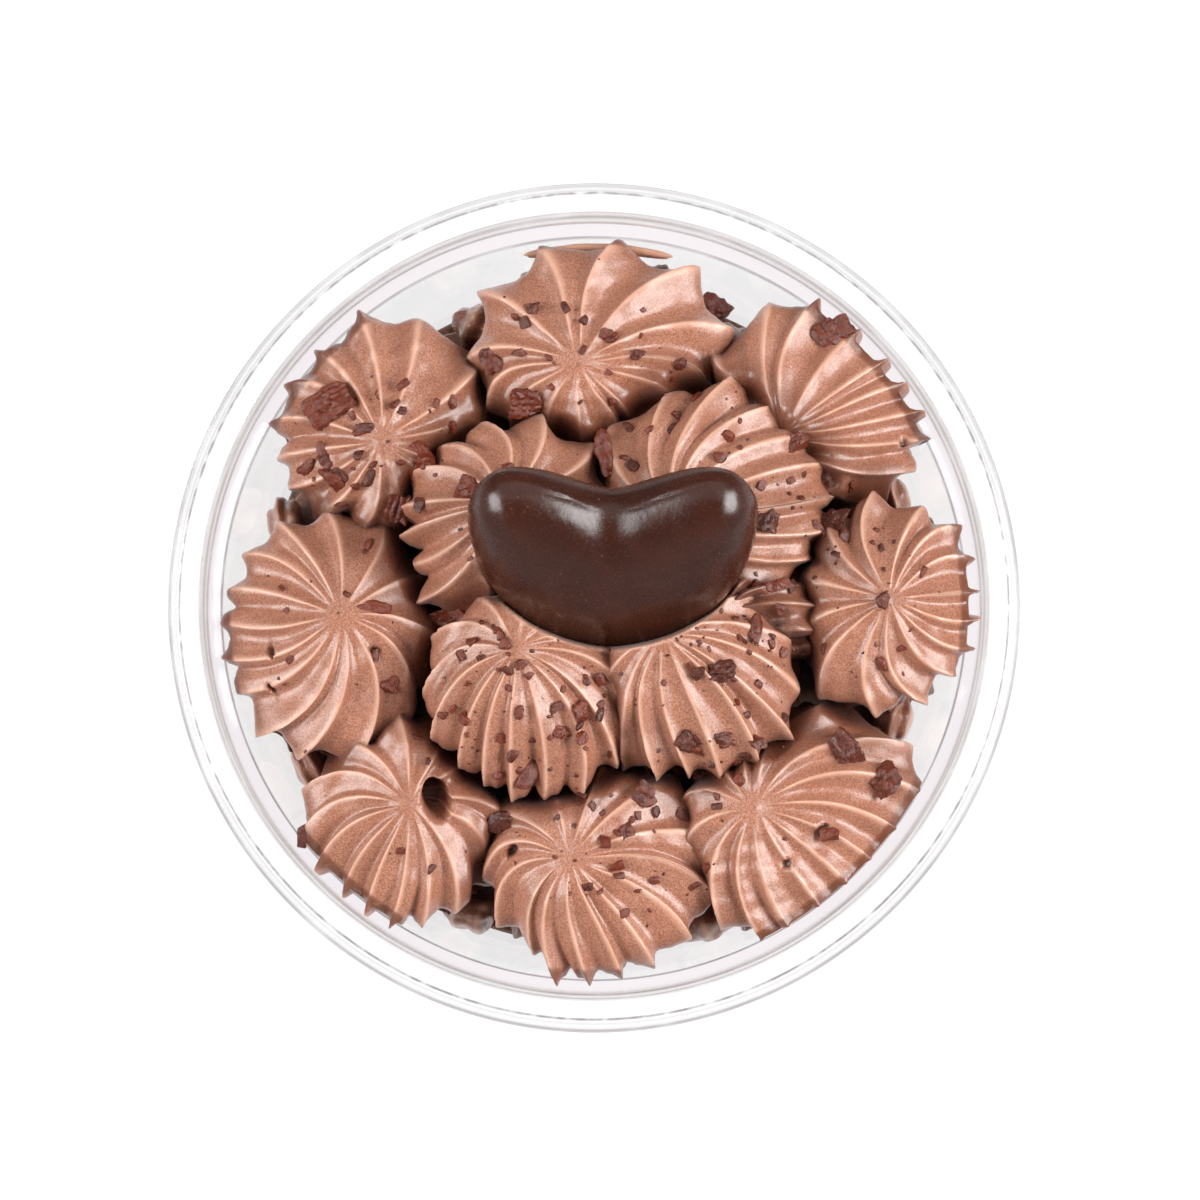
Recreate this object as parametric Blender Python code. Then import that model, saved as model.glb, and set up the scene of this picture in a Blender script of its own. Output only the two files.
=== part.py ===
"""A clear plastic cup of chocolate tres leches cake, topped with piped cream.

The cup stands on its foot ring, with the origin at the centre of its base, in metres and +Z up.
It holds the cake, a bed of cream, thirteen piped rosettes and a moulded chocolate heart, and
chips of cocoa nib lie pressed into the rosettes. Sizes below are in millimetres.
"""

import math
import random
from collections import namedtuple

import bmesh
import bpy
from mathutils import Matrix, Vector
from mathutils.bvhtree import BVHTree

MM = 0.001
GAP = 0.3
SEED = 7
WELD = 0.02
SHARP_DEGREES = 40
ROOM_TOP = 90.0

# Cup: the middle line of its wall, from the centre of the base out to the edge of the skirt.
CUP_WALL = 0.7
CUP_SEGMENTS = 48
BASE_RECESS = 2.0
FOOT_INNER_RADIUS = 36.4
FOOT_OUTER_RADIUS = 39.2
HEEL = (41.6, 2.8)
LEDGE_INNER = (52.3, 51.4)
LEDGE_OUTER = (54.5, 52.4)
RIM_INNER_RADIUS = 55.1
RIM_OUTER_RADIUS = 57.6
RIM_HEIGHT = 58.0
SKIRT_SHOULDER = (59.2, 56.8)
SKIRT_EDGE = (59.65, 54.4)

# Cake and the bed of cream on it.
CAKE_TOP = 34.0
BED_TOP = 37.0
BED_RADIUS = 46.2
BED_WAVE = 1.1
BED_LOBES = 9
BED_SEGMENTS = 54
BED_RINGS = ((0.97, 0.0), (1.0, 0.6), (0.96, 1.0))  # share of the radius, share of the height

# Rosettes: one star nozzle made them all.
RIDGES = 14
RIDGE_DEPTH = 0.13
RIDGE_JITTER = 0.06
BASE_SHARE = 0.82
DOME_POWER = 2.3
TIP_SHARE = 0.28
LOW_LEVELS = (-1.0, -0.5, 0.0)
DOME_LEVELS = (0.25, 0.47, 0.67, 0.85)

Rosette = namedtuple("Rosette", "name apex middle radii turn twist")

# From the highest in the pile to the lowest: each is cut round those above it.
ROSETTES = (
    Rosette("inner_lower_left", (-10.6, -7.2, 66), (-7.6, -12.0, 55), (16.1, 15.2), 4, 0.10),
    Rosette("inner_lower_right", (9.6, -5.3, 66), (13.2, -10.4, 55), (16.4, 14.0), 15, -0.10),
    Rosette("inner_upper_left", (-12.3, 13.1, 65), (-11.4, 10.6, 54), (15.8, 15.8), 7, 0.0),
    Rosette("inner_upper_right", (10.9, 11.9, 65), (16.2, 15.0, 54), (17.0, 16.4), 0, 0.0),
    Rosette("inner_right", (17.5, -1.5, 63), (21.6, -1.5, 54), (10.0, 12.0), 10, 0.0),
    Rosette("outer_top", (-2.2, 33.7, 59), (0.8, 35.8, 51.5), (18.4, 16.4), 5, 0.0),
    Rosette("outer_right", (41.0, 0.2, 61), (40.6, 0.0, 55), (14.3, 15.6), 12, -0.05),
    Rosette("outer_left", (-35.4, -1.9, 59), (-36.8, -4.0, 51.5), (15.8, 18.0), 18, 0.25),
    Rosette("outer_bottom", (-3.3, -35.7, 59), (0.3, -36.4, 51.5), (16.4, 16.4), 8, -0.12),
    Rosette("outer_upper_right", (26.8, 24.0, 59), (30.8, 27.6, 51.5), (17.4, 16.3), 2, -0.15),
    Rosette("outer_upper_left", (-29.8, 22.6, 59), (-28.4, 25.0, 51.5), (16.3, 16.9), 9, 0.0),
    Rosette("outer_lower_left", (-25.7, -28.2, 59), (-26.4, -29.9, 51.5), (15.4, 15.9), 14, 0.0),
    Rosette("outer_lower_right", (22.5, -28.6, 59), (29.6, -30.2, 51.5), (18.4, 17.8), 3, 0.12),
)

# Heart: a puffy moulding that leans back on the cream, its tip sunk into it.
HEART_WIDTH = 39.5
HEART_FRONT = 7.0
HEART_BACK = 5.0
HEART_CENTRE = (2.6, 7.6, 66.0)
HEART_LEAN = 50
HEART_POWER = 2.2
HEART_FULLNESS = 1.44
HEART_WAVES = (16.2, -4.6, -2.6)
HEART_SEGMENTS = 36
HEART_RINGS = 4

# Chips of cocoa nib: where each lies from above, its length and width, and its turn in degrees.
CHIP_SINK = 0.35
CHIP_THICKNESS = 0.6
CHIP_ROUGHNESS = 0.16
CHIP_ROOM = 3 * GAP
CHIP_SHIFTS = (0.0, 0.08, 0.16, 0.24)
CHIPS = (
    (-37.8, 28.6, 6.4, 4.4, 30),
    (-24.6, 20.6, 6.2, 4.2, -70),
    (-37.6, 20.2, 4.6, 2.6, -40),
    (-14.4, 35.4, 3.6, 3.0, 80),
    (-10.0, 28.6, 4.2, 4.0, 0),
    (1.5, 21.5, 7.0, 3.0, -75),
    (15.2, 41.0, 4.4, 3.8, -30),
    (33.8, 38.2, 5.6, 4.6, 40),
    (28.6, 23.2, 3.4, 3.0, 20),
    (33.0, 17.4, 4.8, 3.0, -60),
    (34.0, 11.2, 4.2, 3.2, 70),
    (24.4, 11.6, 5.2, 3.2, 80),
    (-19.4, -3.4, 6.0, 4.4, 20),
    (-31.2, -0.6, 4.8, 2.2, -10),
    (-29.0, -11.8, 3.0, 2.6, 30),
    (-2.0, -15.4, 3.6, 3.0, 60),
    (-9.2, -24.6, 4.6, 2.6, 65),
    (-13.6, -30.8, 3.8, 3.0, 60),
    (17.6, -9.8, 3.8, 3.2, 10),
    (13.2, -19.6, 3.4, 3.0, -30),
    (17.6, -18.8, 3.2, 2.4, 0),
    (22.6, -19.6, 2.8, 2.6, 20),
    (15.4, -23.8, 3.4, 3.0, 45),
    (35.0, -20.4, 6.2, 3.8, -65),
    (40.4, -24.6, 4.4, 4.2, 35),
    (33.4, -32.4, 3.0, 2.2, 0),
    (40.6, 0.6, 2.6, 2.2, 60),
    (6.8, -26.8, 3.2, 2.6, -40),
    (22.2, 1.2, 4.6, 2.4, 60),
    (23.6, 5.2, 4.0, 2.4, 0),
    (-28.0, 13.0, 3.8, 3.0, 10),
    (-4.8, -18.4, 2.6, 2.2, 0),
    (4.6, -31.6, 2.8, 2.4, 30),
    (21.8, -3.6, 4.6, 2.2, 70),
    (-17.2, 16.0, 3.6, 3.4, 80),
)

CLEAR_PLASTIC = ("clear_plastic", (0.93, 0.94, 0.95), 0.05)
SPONGE = ("sponge", (0.10, 0.042, 0.022), 0.7)
CREAM = ("cream", (0.52, 0.27, 0.18), 0.4)
DARK_CHOCOLATE = ("dark_chocolate", (0.05, 0.024, 0.018), 0.25)


def material(name, colour, roughness):
    """A Principled material of one colour."""
    made = bpy.data.materials.get(name) or bpy.data.materials.new(name)
    made.use_nodes = True
    shader = made.node_tree.nodes["Principled BSDF"]
    shader.inputs["Base Color"].default_value = (*colour, 1.0)
    shader.inputs["Roughness"].default_value = roughness
    return made


def add_object(name, points, faces, finish=None):
    """A closed mesh object from points in millimetres, with its normals facing out."""
    mesh = bpy.data.meshes.new(name)
    mesh.from_pydata([Vector(point) * MM for point in points], [], faces)
    shape = bmesh.new()
    shape.from_mesh(mesh)
    bmesh.ops.recalc_face_normals(shape, faces=shape.faces)
    shape.to_mesh(mesh)
    shape.free()
    made = bpy.data.objects.new(name, mesh)
    bpy.context.scene.collection.objects.link(made)
    if finish:
        mesh.materials.append(material(*finish))
    return made


def ring_faces(rings, count):
    """The quads between one ring of count points and the next, rings in all."""
    faces = []
    for ring in range(rings - 1):
        for i in range(count):
            j = (i + 1) % count
            low, high = ring * count, (ring + 1) * count
            faces.append((low + i, low + j, high + j, high + i))
    return faces


def closed_rings(rings, bottom, top):
    """Points and faces of a body made of rings, with a point at either end."""
    count = len(rings[0])
    points = [point for ring in rings for point in ring] + [bottom, top]
    faces = ring_faces(len(rings), count)
    last = (len(rings) - 1) * count
    for i in range(count):
        j = (i + 1) % count
        faces.append((len(points) - 2, j, i))
        faces.append((len(points) - 1, last + i, last + j))
    return points, faces


def lathe(name, profile, segments, finish=None):
    """A turned body: profile runs from the axis, round the section, back to the axis."""
    rings = []
    for radius, height in profile[1:-1]:
        rings.append(
            [
                (radius * math.cos(a), radius * math.sin(a), height)
                for a in (2 * math.pi * i / segments for i in range(segments))
            ]
        )
    start, end = (0, 0, profile[0][1]), (0, 0, profile[-1][1])
    return add_object(name, *closed_rings(rings, start, end), finish)


def cup_path():
    """The middle line of the cup's wall as (radius, height)."""
    half = CUP_WALL / 2
    return (
        (0.0, BASE_RECESS + half),
        (FOOT_INNER_RADIUS - BASE_RECESS, BASE_RECESS + half),
        (FOOT_INNER_RADIUS, half),
        (FOOT_OUTER_RADIUS, half),
        HEEL,
        LEDGE_INNER,
        LEDGE_OUTER,
        (RIM_INNER_RADIUS, RIM_HEIGHT - half),
        (RIM_OUTER_RADIUS, RIM_HEIGHT - half),
        SKIRT_SHOULDER,
        SKIRT_EDGE,
    )


def offset_path(path, distance):
    """The path moved to its left by distance, with mitred corners."""
    points = [Vector(point) for point in path]
    steps = [(b - a).normalized() for a, b in zip(points, points[1:])]
    normals = [Vector((-step.y, step.x)) for step in steps]
    moved = [points[0] + normals[0] * distance]
    for point, before, after in zip(points[1:-1], normals, normals[1:]):
        middle = (before + after).normalized()
        moved.append(point + middle * distance / middle.dot(before))
    moved.append(points[-1] + normals[-1] * distance)
    return [tuple(point) for point in moved]


def inner_radius(profile, height):
    """The radius at which a profile of (radius, height) crosses a height on its way up."""
    for (r0, z0), (r1, z1) in zip(profile, profile[1:]):
        if z0 < z1 and z0 <= height <= z1:
            return r0 + (r1 - r0) * (height - z0) / (z1 - z0)
    return profile[-1][0]


def make_cup():
    inner = offset_path(cup_path(), CUP_WALL / 2)
    outer = offset_path(cup_path(), -CUP_WALL / 2)
    return lathe("cup", inner + outer[::-1], CUP_SEGMENTS, CLEAR_PLASTIC)


def make_cake():
    """The cake fills the cup up to CAKE_TOP, a gap away from its wall."""
    inside = offset_path(cup_path(), CUP_WALL / 2 + GAP)
    below = [point for point in inside if point[1] < CAKE_TOP]
    edge = (inner_radius(inside, CAKE_TOP), CAKE_TOP)
    return lathe("cake", [*below, edge, (0, CAKE_TOP)], CUP_SEGMENTS, SPONGE)


def make_bed():
    """A low bed of cream on the cake, with a wavy edge that shows between the rosettes."""
    angles = [2 * math.pi * i / BED_SEGMENTS for i in range(BED_SEGMENTS)]
    rings = []
    bottom = CAKE_TOP + GAP
    for share, rise in BED_RINGS:
        height = bottom + (BED_TOP - bottom) * rise
        ring = []
        for a in angles:
            wave = (2 * math.sin(BED_LOBES * a) + math.sin(2 * BED_LOBES * a + 1)) / 3
            radius = share * (BED_RADIUS + BED_WAVE * wave)
            ring.append((radius * math.cos(a), radius * math.sin(a), height))
        rings.append(ring)
    ends = ((0, 0, bottom), (0, 0, BED_TOP))
    return add_object("cream_bed", *closed_rings(rings, *ends), CREAM)


def rosette_point(rosette, level, angle, depth, grow=0.0):
    """A point of a rosette.

    level runs from -1 at the foot through 0 at the widest place to 1 at the apex. depth is how far
    the point lies under the ridges, as a share of the local radius, and grow moves it out.
    """
    lift = max(level, 0) * math.pi / 2
    share = math.cos(lift) if level > 0 else 1 - (1 - BASE_SHARE) * level**2
    apex, middle = Vector(rosette.apex), Vector(rosette.middle)
    if level > 0:
        dome = (1 - share**DOME_POWER) ** (1 / DOME_POWER)
        rise = dome * (1 - TIP_SHARE) + (1 - share) * TIP_SHARE
        height = middle.z + (apex.z - middle.z) * rise
    else:
        height = middle.z + (middle.z - BED_TOP - GAP) * level
    centre = apex.lerp(middle, share**2 if level > 0 else 1.0)
    turned = angle + rosette.twist * (1 - share)
    across = Vector((rosette.radii[0] * math.cos(turned), rosette.radii[1] * math.sin(turned), 0))
    point = Vector((centre.x, centre.y, height)) + across * share
    out = across.normalized() * math.cos(lift) + Vector((0, 0, math.sin(lift)))
    return point + out * (grow - depth * share * sum(rosette.radii) / 2)


def ridge_angles(rosette):
    """The angle of each ridge, unevenly spaced, as by hand."""
    draw = random.Random(f"{SEED} {rosette.name}")
    step = 2 * math.pi / RIDGES
    turn = math.radians(rosette.turn)
    return [turn + step * (i + draw.uniform(-1, 1) * RIDGE_JITTER) for i in range(RIDGES)]


def add_rosette(rosette, name, valleys=True, grow=0.0, finish=None):
    """A rosette, or with no valleys the plain body that its ridges just fit in."""
    ridges = ridge_angles(rosette)
    turns = []
    for i, angle in enumerate(ridges):
        turns.append((angle, 0.0))
        if valleys:
            following = ridges[i + 1] if i + 1 < RIDGES else ridges[0] + 2 * math.pi
            turns.append(((angle + following) / 2, RIDGE_DEPTH))
    rings = [
        [rosette_point(rosette, level, angle, depth, grow) for angle, depth in turns]
        for level in LOW_LEVELS + DOME_LEVELS
    ]
    foot = Vector((*rosette.middle[:2], rings[0][0].z))
    tip = Vector(rosette.apex) + Vector((0, 0, grow))
    if not valleys:
        sink = Vector((0, 0, BED_TOP - CAKE_TOP))
        foot -= sink
        rings[0] = [point - sink for point in rings[0]]
    return add_object(name, *closed_rings(rings, foot, tip), finish)


def heart_outline(turn):
    """The outline of the heart in its own plane, lobes at +Y, for turn from 0 to 2 pi."""
    x = math.copysign(abs(math.sin(turn)) ** HEART_FULLNESS, math.sin(turn)) * HEART_WIDTH / 2
    y = sum(size * math.cos((i + 1) * turn) for i, size in enumerate(HEART_WAVES))
    return Vector((x, y, 0))


def add_heart(name, grow=0.0, finish=None):
    """The heart: scaled copies of its outline, each raised as on a cushion, on both sides."""
    angles = [2 * math.pi * (i + 0.5) / HEART_SEGMENTS for i in range(HEART_SEGMENTS)]
    rings = []
    for step in range(1 - HEART_RINGS, HEART_RINGS):
        lift = step / HEART_RINGS * math.pi / 2
        share = math.cos(lift)
        thickness = HEART_FRONT if step > 0 else HEART_BACK
        rise = math.copysign((1 - share**HEART_POWER) ** (1 / HEART_POWER), step) * thickness
        out = math.cos(lift) * grow
        ring = []
        for angle in angles:
            edge = heart_outline(angle)
            flat = edge * share + edge.normalized() * out
            ring.append(flat + Vector((0, 0, rise + math.sin(lift) * grow)))
        rings.append(ring)
    ends = ((0, 0, -HEART_BACK - grow), (0, 0, HEART_FRONT + grow))
    made = add_object(name, *closed_rings(rings, *ends), finish)
    place = Matrix.Translation(Vector(HEART_CENTRE) * MM)
    made.matrix_world = place @ Matrix.Rotation(math.radians(HEART_LEAN), 4, "X")
    return made


def apply_boolean(target, operation, other):
    """Cuts target by, or joins it with, an object or a collection, and keeps the result."""
    cut = target.modifiers.new("cut", "BOOLEAN")
    cut.operation = operation
    if isinstance(other, bpy.types.Collection):
        cut.operand_type = "COLLECTION"
        cut.collection = other
    else:
        cut.object = other
    graph = bpy.context.evaluated_depsgraph_get()
    mesh = bpy.data.meshes.new_from_object(target.evaluated_get(graph))
    target.modifiers.clear()
    target.data = mesh


def islands(shape):
    """The separate bodies of a bmesh, each as a list of vertices."""
    left = set(shape.verts)
    found = []
    while left:
        todo = [left.pop()]
        body = []
        while todo:
            vert = todo.pop()
            body.append(vert)
            for edge in vert.link_edges:
                other = edge.other_vert(vert)
                if other in left:
                    left.remove(other)
                    todo.append(other)
        found.append(body)
    return found


def drop_scraps(target):
    """Keeps the largest of the bodies that the cuts left, with near points merged."""
    shape = bmesh.new()
    shape.from_mesh(target.data)
    bmesh.ops.remove_doubles(shape, verts=shape.verts, dist=WELD * MM)
    bmesh.ops.dissolve_degenerate(shape, edges=shape.edges, dist=WELD / 2 * MM)
    bodies = sorted(islands(shape), key=len)
    for body in bodies[:-1]:
        bmesh.ops.delete(shape, geom=body, context="VERTS")
    bmesh.ops.triangulate(shape, faces=shape.faces)
    shape.to_mesh(target.data)
    shape.free()


def remove(helper):
    mesh = helper.data
    bpy.data.objects.remove(helper)
    bpy.data.meshes.remove(mesh)


def make_rosettes():
    """The rosettes, each kept inside the cup and cut round the heart and the rosettes over it."""
    inside = offset_path(cup_path(), CUP_WALL / 2 + GAP)
    wall = inside[: cup_path().index(LEDGE_OUTER) + 2]
    room = lathe("room", [*wall, (wall[-1][0], ROOM_TOP), (0, ROOM_TOP)], CUP_SEGMENTS)
    above = [add_heart("heart_room", grow=GAP)]
    made = []
    for rosette in ROSETTES:
        piece = add_rosette(rosette, f"rosette_{rosette.name}", finish=CREAM)
        apply_boolean(piece, "INTERSECT", room)
        for cutter in above:
            apply_boolean(piece, "DIFFERENCE", cutter)
            drop_scraps(piece)
        made.append(piece)
        above.append(add_rosette(rosette, f"{rosette.name}_room", valleys=False, grow=GAP))
    for helper in [room, *above]:
        remove(helper)
    return made


def surface_of(piece):
    """The piece's surface in world space, for finding points on it and distances from it."""
    mesh = piece.data
    points = [piece.matrix_world @ vert.co for vert in mesh.vertices]
    return BVHTree.FromPolygons(points, [tuple(face.vertices) for face in mesh.polygons])


def add_chip(number, spot, normal, length, width, turn):
    """A rough chip of nib, partly sunk along the normal of the surface that it lies on."""
    draw = random.Random(f"{SEED} chip {number}")
    shape = bmesh.new()
    bmesh.ops.create_icosphere(shape, subdivisions=1, radius=1.0)
    thickness = CHIP_THICKNESS * width
    for vert in shape.verts:
        vert.co *= 1 + draw.uniform(-1, 1) * CHIP_ROUGHNESS
    flat = Matrix.Diagonal((length / 2 * MM, width / 2 * MM, thickness / 2 * MM, 1))
    lie = Vector((0, 0, 1)).rotation_difference(normal).to_matrix().to_4x4()
    turned = lie @ Matrix.Rotation(math.radians(turn), 4, "Z") @ flat
    lift = normal * thickness * MM * (0.5 - CHIP_SINK)
    bmesh.ops.transform(shape, matrix=Matrix.Translation(spot + lift) @ turned, verts=shape.verts)
    mesh = bpy.data.meshes.new(f"chip_{number}")
    shape.to_mesh(mesh)
    shape.free()
    return bpy.data.objects.new(f"chip_{number}", mesh)


def drop_chip(number, shift, surfaces):
    """A chip dropped onto the pile from above, shift of the way from its place to the apex of the
    rosette it lies on. Returns the piece that it lies on and, where it is clear of the others,
    the chip."""
    x, y, length, width, turn = CHIPS[number]
    down = Vector((0, 0, -1))
    start = Vector((x, y, ROOM_TOP)) * MM
    piece = landing(start, down, surfaces)[1]
    apex = next((r.apex for r in ROSETTES if piece.name == f"rosette_{r.name}"), None)
    if apex is None:
        return piece, None
    start = start.lerp(Vector((apex[0] * MM, apex[1] * MM, start.z)), shift)
    (spot, normal, _, _), piece = landing(start, down, surfaces)
    room = add_chip(number, spot, normal, length + CHIP_ROOM, width + CHIP_ROOM, turn)
    room_surface = surface_of(room)
    remove(room)
    if any(tree.overlap(room_surface) for other, tree in surfaces.items() if other is not piece):
        return piece, None
    return piece, add_chip(number, spot, normal, length, width, turn)


def landing(start, down, surfaces):
    """The highest surface under a point, as the hit and the piece."""
    hits = [(tree.ray_cast(start, down), piece) for piece, tree in surfaces.items()]
    return max((hit for hit in hits if hit[0][0]), key=lambda hit: hit[0][0].z)


def fuse_chips(rosettes, others):
    """Joins each chip to the rosette it lies on, moved towards its apex until it is clear."""
    surfaces = {piece: surface_of(piece) for piece in [*rosettes, *others]}
    chips = {piece: bpy.data.collections.new(f"chips_{piece.name}") for piece in rosettes}
    for number in range(len(CHIPS)):
        for shift in CHIP_SHIFTS:
            piece, chip = drop_chip(number, shift, surfaces)
            if chip:
                chips[piece].objects.link(chip)
                break
    for piece, collection in chips.items():
        if collection.objects:
            bpy.context.scene.collection.children.link(collection)
            apply_boolean(piece, "UNION", collection)
            drop_scraps(piece)
        for chip in list(collection.objects):
            remove(chip)
        bpy.data.collections.remove(collection)


def shade(piece):
    piece.data.shade_smooth()
    piece.data.set_sharp_from_angle(angle=math.radians(SHARP_DEGREES))


def main():
    for old in list(bpy.data.objects):
        bpy.data.objects.remove(old)
    cup = make_cup()
    cake = make_cake()
    bed = make_bed()
    heart = add_heart("heart", finish=DARK_CHOCOLATE)
    rosettes = make_rosettes()
    fuse_chips(rosettes, [cup, cake, bed, heart])
    for piece in [cup, cake, bed, heart, *rosettes]:
        shade(piece)


main()
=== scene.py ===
"""The looks of the cup of chocolate tres leches cake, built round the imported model.

Sizes are in millimetres, and MM turns them into metres. Nibs, pits and patches of crumbs are placed by
pixels of the 1200 x 1200 photograph: each point is cast from the camera onto the cream.
"""

import math
import random
from collections import namedtuple

import bmesh
import bpy
import numpy as np
from mathutils import Matrix, Vector
from mathutils.bvhtree import BVHTree
from mathutils.geometry import convex_hull_2d


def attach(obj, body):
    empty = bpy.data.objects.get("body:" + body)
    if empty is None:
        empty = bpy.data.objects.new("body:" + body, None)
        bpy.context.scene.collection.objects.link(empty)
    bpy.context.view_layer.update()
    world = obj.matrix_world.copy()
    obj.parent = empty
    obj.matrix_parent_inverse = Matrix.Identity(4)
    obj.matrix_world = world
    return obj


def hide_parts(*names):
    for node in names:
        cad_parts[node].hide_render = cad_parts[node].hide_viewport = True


MM = 0.001
SEED = 7
TAU = 2 * math.pi

# Camera: the photograph's own, at its place over the cup. Its focal length and size are in pixels.
CAMERA_PLACE = (0.8392, -40.478, 576.422)
CAMERA_TILT = 4.5
SENSOR = 36.0
PHOTO_FOCAL = 3718.0
PHOTO_SIZE = 1200.0

# Cup: the middle line of its wall, from the centre of the base out to the edge of the skirt.
CUP_WALL = 0.7
CUP_SEGMENTS = 240
CUP_ROUNDING = 0.9
BASE_RECESS = 2.0
FOOT_INNER_RADIUS = 36.4
FOOT_OUTER_RADIUS = 39.2
HEEL = (41.6, 2.8)
LEDGE_INNER = (52.3, 51.4)
LEDGE_OUTER = (54.5, 52.4)
RIM_INNER_RADIUS = 55.1
RIM_OUTER_RADIUS = 57.6
RIM_HEIGHT = 58.0
SKIRT_SHOULDER = (59.2, 56.8)
SKIRT_EDGE = (59.65, 54.4)

# A faint band of painted shade over the ledge: where it starts and ends, how softly, and its strength and
# tint.
BAND = (52.6, 54.6)
BAND_SOFT = 0.2
BAND_STRENGTH = 0.6
BAND_TINT = (0.87, 0.83, 0.85, 1)

# Lines of painted shade that show round the rim where it bends: radius, half width, strength, how broken
# each is, and its dashes' length.
RING_GREY = (0.30, 0.26, 0.26, 1.0)
RING_BROWN = (0.30, 0.20, 0.18, 1.0)
Ring = namedtuple("Ring", "radius width strength broken dash colour")
RINGS = (
    Ring(52.75, 0.18, 0.5, 0.4, 9.0, RING_GREY),
    Ring(54.7, 0.18, 0.45, 0.4, 12.0, RING_BROWN),
    Ring(55.2, 0.14, 0.3, 0.6, 8.0, RING_BROWN),
    Ring(58.05, 0.24, 0.55, 0.8, 2.2, RING_GREY),
    Ring(59.7, 0.36, 0.45, 0.5, 9.0, RING_GREY),
)

# The plastic's tint face on and edge on, the grey edge on being painted shade, and how much of its mirror
# shine shows.
CLEAR_TINT = (0.995, 0.994, 0.997, 1)
EDGE_TINT = (0.984, 0.979, 0.986, 1)
PLASTIC_IOR = 1.45
MIRROR_SHARE = 0.28

# Cake and the bed of cream on it. Both reach just into the wall, so that no air gap shows. The cake's
# edge rounds off from its drop below the top by points that lie inward and below the top.
INTO_WALL = 0.12
CAKE_TOP = 34.0
CAKE_RINGS = 40
CAKE_EDGE_DROP = 0.8
CAKE_EDGE = ((0.5, 0.1), (1.5, 0.0))
BED_TOP = 37.0
BED_OVERLAP = 0.2
BED_RADIUS = 46.6
BED_WAVE = 1.1
BED_LOBES = 9
BED_RIPPLE = 0.25
BED_POINTS = 270
BED_RINGS = 18

# Cream smeared on the wall: angle in degrees and height of its middle, half length, half height.
Smear = namedtuple("Smear", "angle height length rise")
SMEARS = (
    Smear(89, 50.4, 10.0, 1.2),
    Smear(-40, 50.4, 10.0, 1.1),
)
SMEAR_THICKNESS = 1.1
SMEAR_RAGGED = 0.12
SMEAR_SCALLOPS = (7, 0.06)
SMEAR_BLUNT = 0.4
SMEAR_POINTS = 64
SMEAR_RINGS = 15

# Loose folds of cream low at the wall: place of the middle, size along and across, turn in degrees.
Fold = namedtuple("Fold", "x y z length width turn")
FOLDS = (
    Fold(16.2, -44.4, 42.0, 9.0, 6.0, 20),
    Fold(-16.6, 41.0, 42.0, 8.0, 6.5, -30),
    Fold(-18.0, -43.2, 41.0, 8.0, 5.5, -20),
    Fold(-40.6, -22.6, 41.5, 5.0, 8.0, 30),
    Fold(19.5, 38.0, 42.5, 8.0, 7.0, 30),
    Fold(43.0, 16.0, 42.0, 5.0, 8.0, 15),
    Fold(43.0, -15.5, 42.0, 5.0, 8.0, -15),
    Fold(-44.5, 12.5, 42.0, 5.0, 7.5, 10),
)
FOLD_HALF_HEIGHT = 5.0
FOLD_RIDGES = 7.0
FOLD_DEPTH = 0.10
FOLD_RIPPLE = 0.05

# Rosettes: one star nozzle made them all. GAP is what the solids keep between them.
RIDGES = 14
RIDGE_JITTER = 0.06
RIDGE_ROUNDING = 0.32
RIDGE_STEPS = 16
BASE_SHARE = 0.82
DOME_POWER = 2.3
TIP_SHARE = 0.28
GAP = 0.3
LOW_RINGS = 30
DOME_RINGS = 64
DOME_END = 0.985
TIP_RISE = 0.12

# Valleys between the ridges: their depth as a share of the radius, how far one differs from the next,
# and how strong the fine grooves in them are.
RIDGE_DEPTH = 0.15
HOLLOWS_VARY = 0.3
GROOVE_SHARE = 0.022

# How the ridges differ by hand: length, bend, skew, sweep, lean, and the fins at their ends in mm.
REACH_VARIES = 0.03
BEND_VARIES = 0.13
RIDGE_SKEW = 0.45
RIDGE_SWEEP = 0.42
ROSETTE_LEAN = 0.05
RIDGE_LEAN = 0.03
FINS = (-0.2, 1.0)
FIN_WIDTH = 0.1
OUTLINE_CALM = (0.0, 0.4)

# The pale line painted along a ridge as its highlight, and its torn edge in mm. Widths are shares of the
# way to the next ridge.
LINE_WIDTH = 0.075
TORN = 0.09
TORN_WIDTH = 0.06

# Soft unevenness of the whole surface: height and length of the waves.
SWELLS = (0.35, 13.0)
SMALL_SWELLS = (0.12, 4.5)

# The waist under a rosette's widest level. Below it the ridges lie half a step further round.
WAIST = 0.12
WAIST_LEVEL = -0.3
WAIST_HEIGHT = 0.12
WAIST_SHIFT = 0.15

# Some valleys are creases between folds: how far they turn into one, and the share of them.
FOLDED = 0.75
FOLDED_SHARE = 0.2
FOLDED_SHARES = {
    "inner_lower_left": 0.6,
    "inner_upper_left": 0.5,
    "outer_lower_left": 0.45,
}

# Where the cream clings to the wall: radius in the valleys, and how much further the ridges reach,
# less where the cream was smeared flat. It grows wet near there, and drier again lower down.
CLING_RADIUS = 52.5
CLING_TIPS = 1.7
FLAT_AT_WALL = {"outer_lower_right": 0.3}
WET_RADIUS = 52.2
WET_NEAR = (-1.5, -0.5)
DRY_AGAIN = (0.8, 2.4)

# Each rosette dips where another is piped over it, and is dark with shade near one and low down.
DIP = 4.5
DIP_NEAR = (-2.6, 0.8)
SHADE_NEAR = (-7.5, 0.6)
SHADE_DEPTH = 5.0
FOOT_BELOW_BED = 0.6

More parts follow.
